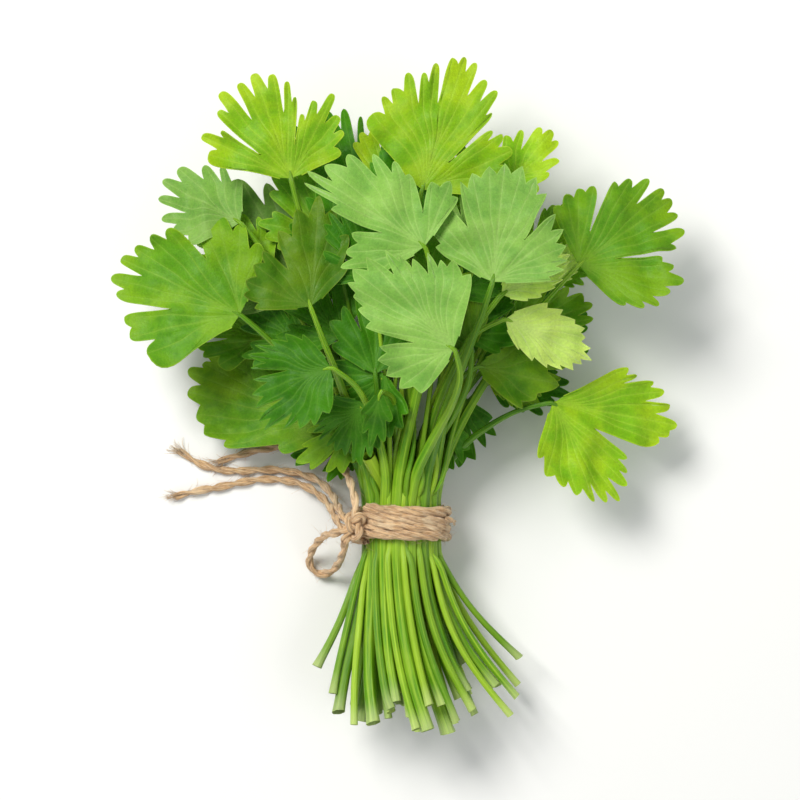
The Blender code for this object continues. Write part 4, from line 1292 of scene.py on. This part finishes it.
class CorianderStage(bpy.types.Operator):
    """Sets up the pale floor, the soft lights and the camera over the bunch"""

    bl_idname = "coriander.stage"
    bl_label = "Studio"

    def execute(self, context):
        settings = context.scene.coriander_stage
        shape = bmesh.new()
        bmesh.ops.create_grid(shape, x_segments=4, y_segments=4, size=1.6)
        mesh = bpy.data.meshes.new("studio_floor")
        shape.to_mesh(mesh)
        shape.free()
        finish = bpy.data.materials.new("floor_finish")
        finish.use_nodes = True
        tree = finish.node_tree
        shader = tree.nodes["Principled BSDF"]
        place = tree.nodes.new("ShaderNodeTexCoord").outputs["Object"]
        grain = ranged(tree, noise(tree, place, 900.0, 2.0), 0.3, 0.7, 0.52, 0.62)
        tree.links.new(grain, shader.inputs["Roughness"])
        shader.inputs["Base Color"].default_value = (*settings.floor, 1.0)
        shader.inputs["Specular IOR Level"].default_value = 0.2
        mesh.materials.append(finish)
        floor = bpy.data.objects.new("studio_floor", mesh)
        context.scene.collection.objects.link(floor)
        lights = (
            ("key_light", (-0.46, 0.50, 0.90), 0.45, settings.key_power, (1.0, 0.985, 0.95)),
            ("fill_light", (0.70, -0.25, 0.80), 0.70, settings.fill_power, (0.95, 0.98, 1.0)),
            ("low_light", (-0.2, -0.9, 0.45), 0.60, settings.fill_power * 0.6, (1.0, 1.0, 1.0)),
        )
        for name, place, size, power, tint in lights:
            lamp = bpy.data.lights.new(name, "AREA")
            lamp.size = size
            lamp.energy = power
            lamp.color = tint
            holder = bpy.data.objects.new(name, lamp)
            holder.location = place
            holder.rotation_euler = (-Vector(place)).to_track_quat("-Z", "Y").to_euler()
            context.scene.collection.objects.link(holder)
        room = bpy.data.worlds.new("room")
        room.use_nodes = True
        sky = room.node_tree.nodes["Background"]
        sky.inputs["Color"].default_value = (0.97, 0.985, 1.0, 1.0)
        sky.inputs["Strength"].default_value = settings.sky
        context.scene.world = room
        context.scene.view_settings.view_transform = "Standard"
        view = bpy.data.cameras.new("camera")
        view.lens = settings.lens
        view.sensor_width = 36.0
        view.clip_end = 20.0
        camera = bpy.data.objects.new("camera", view)
        camera.location = (0.00194, -0.0003, settings.camera_height)
        context.scene.collection.objects.link(camera)
        context.scene.camera = camera
        return {"FINISHED"}


class CorianderTwineEnds(bpy.types.Operator):
    """Lays the frayed loose ends and the slip loop of the twine on the table"""

    bl_idname = "coriander.twine_ends"
    bl_label = "Twine ends"

    def execute(self, context):
        finish = twine_finish()
        for number, (name, route) in enumerate(TAILS.items()):
            path = smooth_through(route, 0.9)
            shape = bmesh.new()
            loop = name == "twine_loop"
            add_strand(shape, path, PLY, 2, TAIL_PITCH, 40 + number, 0.0 if loop else 7.0)
            piece = finished(name + "_strand", shape, [finish], [name])
        return {"FINISHED"}


class CorianderTwineBand(bpy.types.Operator):
    """Winds the twine round the neck of the bunch, with its knot and stray fibres"""

    bl_idname = "coriander.twine_band"
    bl_label = "Twine band"

    def execute(self, context):
        settings = context.scene.coriander_twine
        finish = twine_finish()
        chance = random.Random(5)
        pitch = TURN_PITCH * TURNS / settings.turns * 1.12
        path = []
        for i in range(round(settings.turns * BAND_STEPS) + 1):
            turn = i / BAND_STEPS
            spot = wrap_point(turn, 0.25 * math.sin(7 * turn))
            wander = 0.45 * math.sin(2 * math.pi * turn * 0.97 + 1.1) + 0.2 * math.sin(11.0 * turn)
            spot.y = NECK.y + pitch * (turn - settings.turns / 2) + wander
            path.append(spot)
        shape = bmesh.new()
        add_strand(shape, path, TWINE * 1.16, 3, 24.0, 61)
        finished("twine_band", shape, [finish], ["twine_wraps"])

        low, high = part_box("twine_knot")
        middle = (low + high) / 2 / MM
        half = (high - low) / 2 / MM
        lump = []
        for i in range(91):
            t = 2 * math.pi * (0.03 + 0.94 * i / 90)
            lump.append(middle + Vector((
                (math.sin(t) + 2 * math.sin(2 * t)) / 3 * half.x * 0.95,
                (math.cos(t) - 2 * math.cos(2 * t)) / 3 * half.y * 0.80,
                -math.sin(3 * t) * half.z * 0.65,
            )))
        shape = bmesh.new()
        add_strand(shape, lump, 2.7, 2, 8.0, 62)
        ends = [route[:2] for route in TAILS.values()] + [TAILS["twine_loop"][:-3:-1]]
        for number, (start, onward) in enumerate(ends):
            start, onward = Vector(start), Vector(onward)
            over = start + (onward - start).normalized() * 1.5
            stub = smooth_through([middle, start, over], 0.6)
            add_strand(shape, stub, PLY * 1.1, 2, TAIL_PITCH, 70 + number)
        finished("twine_knot_turns", shape, [finish], ["twine_knot"])

        shape = bmesh.new()
        add_strand(shape, smooth_through(NUB, 0.6), 2.0, 2, 6.0, 63, fray=2.5)
        finished("twine_nub", shape, [finish])

        shape = bmesh.new()
        routes = [(path, 1.9, 0.62)]
        routes += [(smooth_through(route, 0.9), 1.0, 0.38 / len(TAILS)) for route in TAILS.values()]
        for line, girth, share in routes:
            across = side_vectors(line)
            for _ in range(round(settings.hairs * share)):
                row = chance.randrange(1, len(line) - 1)
                lean = chance.uniform(0, 2 * math.pi)
                out = across[row][0] * math.cos(lean) + across[row][1] * math.sin(lean)
                along = (line[row + 1] - line[row]).normalized() * chance.choice((-1, 1))
                way = (along * chance.uniform(0.6, 1.6) + out * chance.uniform(0.2, 1.0)).normalized()
                add_hair(shape, line[row] + out * girth * 0.8, way, chance.uniform(1.8, 5.5), chance)
        for name, route in TAILS.items():
            if name == "twine_loop":
                continue
            tip = Vector(route[-1])
            ahead = (tip - Vector(route[-2])).normalized()
            for _ in range(FRAY_HAIRS):
                aside = Vector((chance.gauss(0, 0.4), chance.gauss(0, 0.4), chance.gauss(0, 0.4)))
                way = (ahead + aside * 0.6).normalized()
                start = tip + aside - ahead * chance.uniform(0.3, 2.5)
                add_hair(shape, start, way, chance.uniform(2.5, 6.0), chance, 0.10)
        finished("twine_fibres", shape, [finish])
        return {"FINISHED"}


class CorianderStems(bpy.types.Operator):
    """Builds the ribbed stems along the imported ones, with their wet cut ends"""

    bl_idname = "coriander.stems"
    bl_label = "Stems"

    def execute(self, context):
        sides = context.scene.coriander_stems.sides
        finish = stem_finish()
        for number, leaf in enumerate(LEAVES):
            knots, radii = leaf_stalk(leaf)
            shape = bmesh.new()
            add_stalk(shape, knots, radii, 100 + number, sides)
            finished("stalk_" + leaf.name, shape, [finish], ["stem_" + leaf.name])
        knots, radii = stalk_line("stem_snapped")
        shape = bmesh.new()
        add_stalk(shape, knots, radii, 99, sides, pale=0.7)
        finished("stalk_snapped", shape, [finish], ["stem_snapped"])
        return {"FINISHED"}


class CorianderThinStems(bpy.types.Operator):
    """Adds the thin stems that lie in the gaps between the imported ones"""

    bl_idname = "coriander.thin_stems"
    bl_label = "Thin stems"

    def execute(self, context):
        sides = round(context.scene.coriander_stems.sides * 0.7)
        taken = []
        for name in [*["stem_" + leaf.name for leaf in LEAVES], "stem_snapped"]:
            knots, radii = stalk_line(name)
            path = smooth_through(knots, 1.6)
            lengths = np.array(travel(knots)) * travel(path)[-1] / travel(knots)[-1]
            girths = np.interp(travel(path), lengths, radii)
            taken += [(*point, girth) for point, girth in zip(path, girths)]
        shape = bmesh.new()
        for number, ((across, up), below, thick, lean, leaf) in enumerate(BETWEEN):
            line = thin_stem_line(across, up, below, lean, leaf)
            line = eased_apart(line, thick / 2, np.array(taken))
            taken += [(*point, thick / 2) for point in line]
            ahead = heading_vector(leaf.heading, leaf.pitch)
            line[-1] = Vector(leaf.base) + ahead * 2.0 - Vector((0, 0, 0.3))
            far = travel(line)
            radii = [thick / 2 + (0.45 - thick / 2) * (length / far[-1]) ** 1.5 for length in far]
            add_stalk(shape, line, radii, 300 + number, sides, pale=0.3 * (number % 3))
        finished("stalks_between", shape, [stem_finish()])
        return {"FINISHED"}


class CorianderLeaves(bpy.types.Operator):
    """Builds the toothed, veined blade of each leaf where its packed blade lies"""

    bl_idname = "coriander.leaves"
    bl_label = "Leaves"

    def execute(self, context):
        settings = context.scene.coriander_leaves
        finishes = leaf_finishes()
        for leaf in LEAVES:
            shape = bmesh.new()
            add_blade(shape, leaf, settings.rows, settings.thickness / MM, 0.0 if leaf.bend == 0 else 1.0)
            finished("blade_" + leaf.name, shape, [finishes[leaf.tone]],
                     ["leaf_" + leaf.name])
        return {"FINISHED"}


class CorianderInnerLeaves(bpy.types.Operator):
    """Adds the smaller leaves that the thin stems carry inside the bunch"""

    bl_idname = "coriander.inner_leaves"
    bl_label = "Inner leaves"

    def execute(self, context):
        settings = context.scene.coriander_leaves
        finishes = leaf_finishes()
        for leaf in [entry[-1] for entry in BETWEEN]:
            shape = bmesh.new()
            add_blade(shape, leaf, settings.rows, settings.thickness / MM)
            finished("blade_" + leaf.name, shape, [finishes[leaf.tone]])
        return {"FINISHED"}


class CorianderPanel(bpy.types.Panel):
    """The steps that build the bunch"""

    bl_idname = "VIEW3D_PT_coriander_bunch"
    bl_label = "Coriander Bunch"
    bl_space_type = "VIEW_3D"
    bl_region_type = "UI"
    bl_category = "Coriander"

    def draw(self, context):
        layout = self.layout
        for operator in OPERATORS:
            layout.operator(operator.bl_idname)
        for name in SETTINGS:
            settings = getattr(context.scene, name)
            box = layout.box()
            for key in settings.bl_rna.properties.keys():
                if key not in ("rna_type", "name"):
                    box.prop(settings, key)


SETTINGS = {
    "coriander_stage": CorianderStageSettings,
    "coriander_twine": CorianderTwineSettings,
    "coriander_stems": CorianderStemSettings,
    "coriander_leaves": CorianderLeafSettings,
}
OPERATORS = (
    CorianderStage,
    CorianderTwineEnds,
    CorianderTwineBand,
    CorianderStems,
    CorianderThinStems,
    CorianderLeaves,
    CorianderInnerLeaves,
)


def register():
    for name, settings in SETTINGS.items():
        bpy.utils.register_class(settings)
        setattr(bpy.types.Scene, name, PointerProperty(type=settings))
    for kind in (*OPERATORS, CorianderPanel):
        bpy.utils.register_class(kind)


def unregister():
    for kind in reversed((*OPERATORS, CorianderPanel)):
        bpy.utils.unregister_class(kind)
    for name, settings in reversed(SETTINGS.items()):
        delattr(bpy.types.Scene, name)
        bpy.utils.unregister_class(settings)


def main():
    for thing in [o for o in bpy.data.objects if o.type in {"CAMERA", "LIGHT"}]:
        bpy.data.objects.remove(thing, do_unlink=True)
    register()
    bpy.ops.coriander.stage()
    bpy.ops.coriander.twine_ends()
    bpy.ops.coriander.twine_band()
    bpy.ops.coriander.stems()
    bpy.ops.coriander.thin_stems()
    bpy.ops.coriander.leaves()
    bpy.ops.coriander.inner_leaves()


if __name__ == "__main__":
    main()
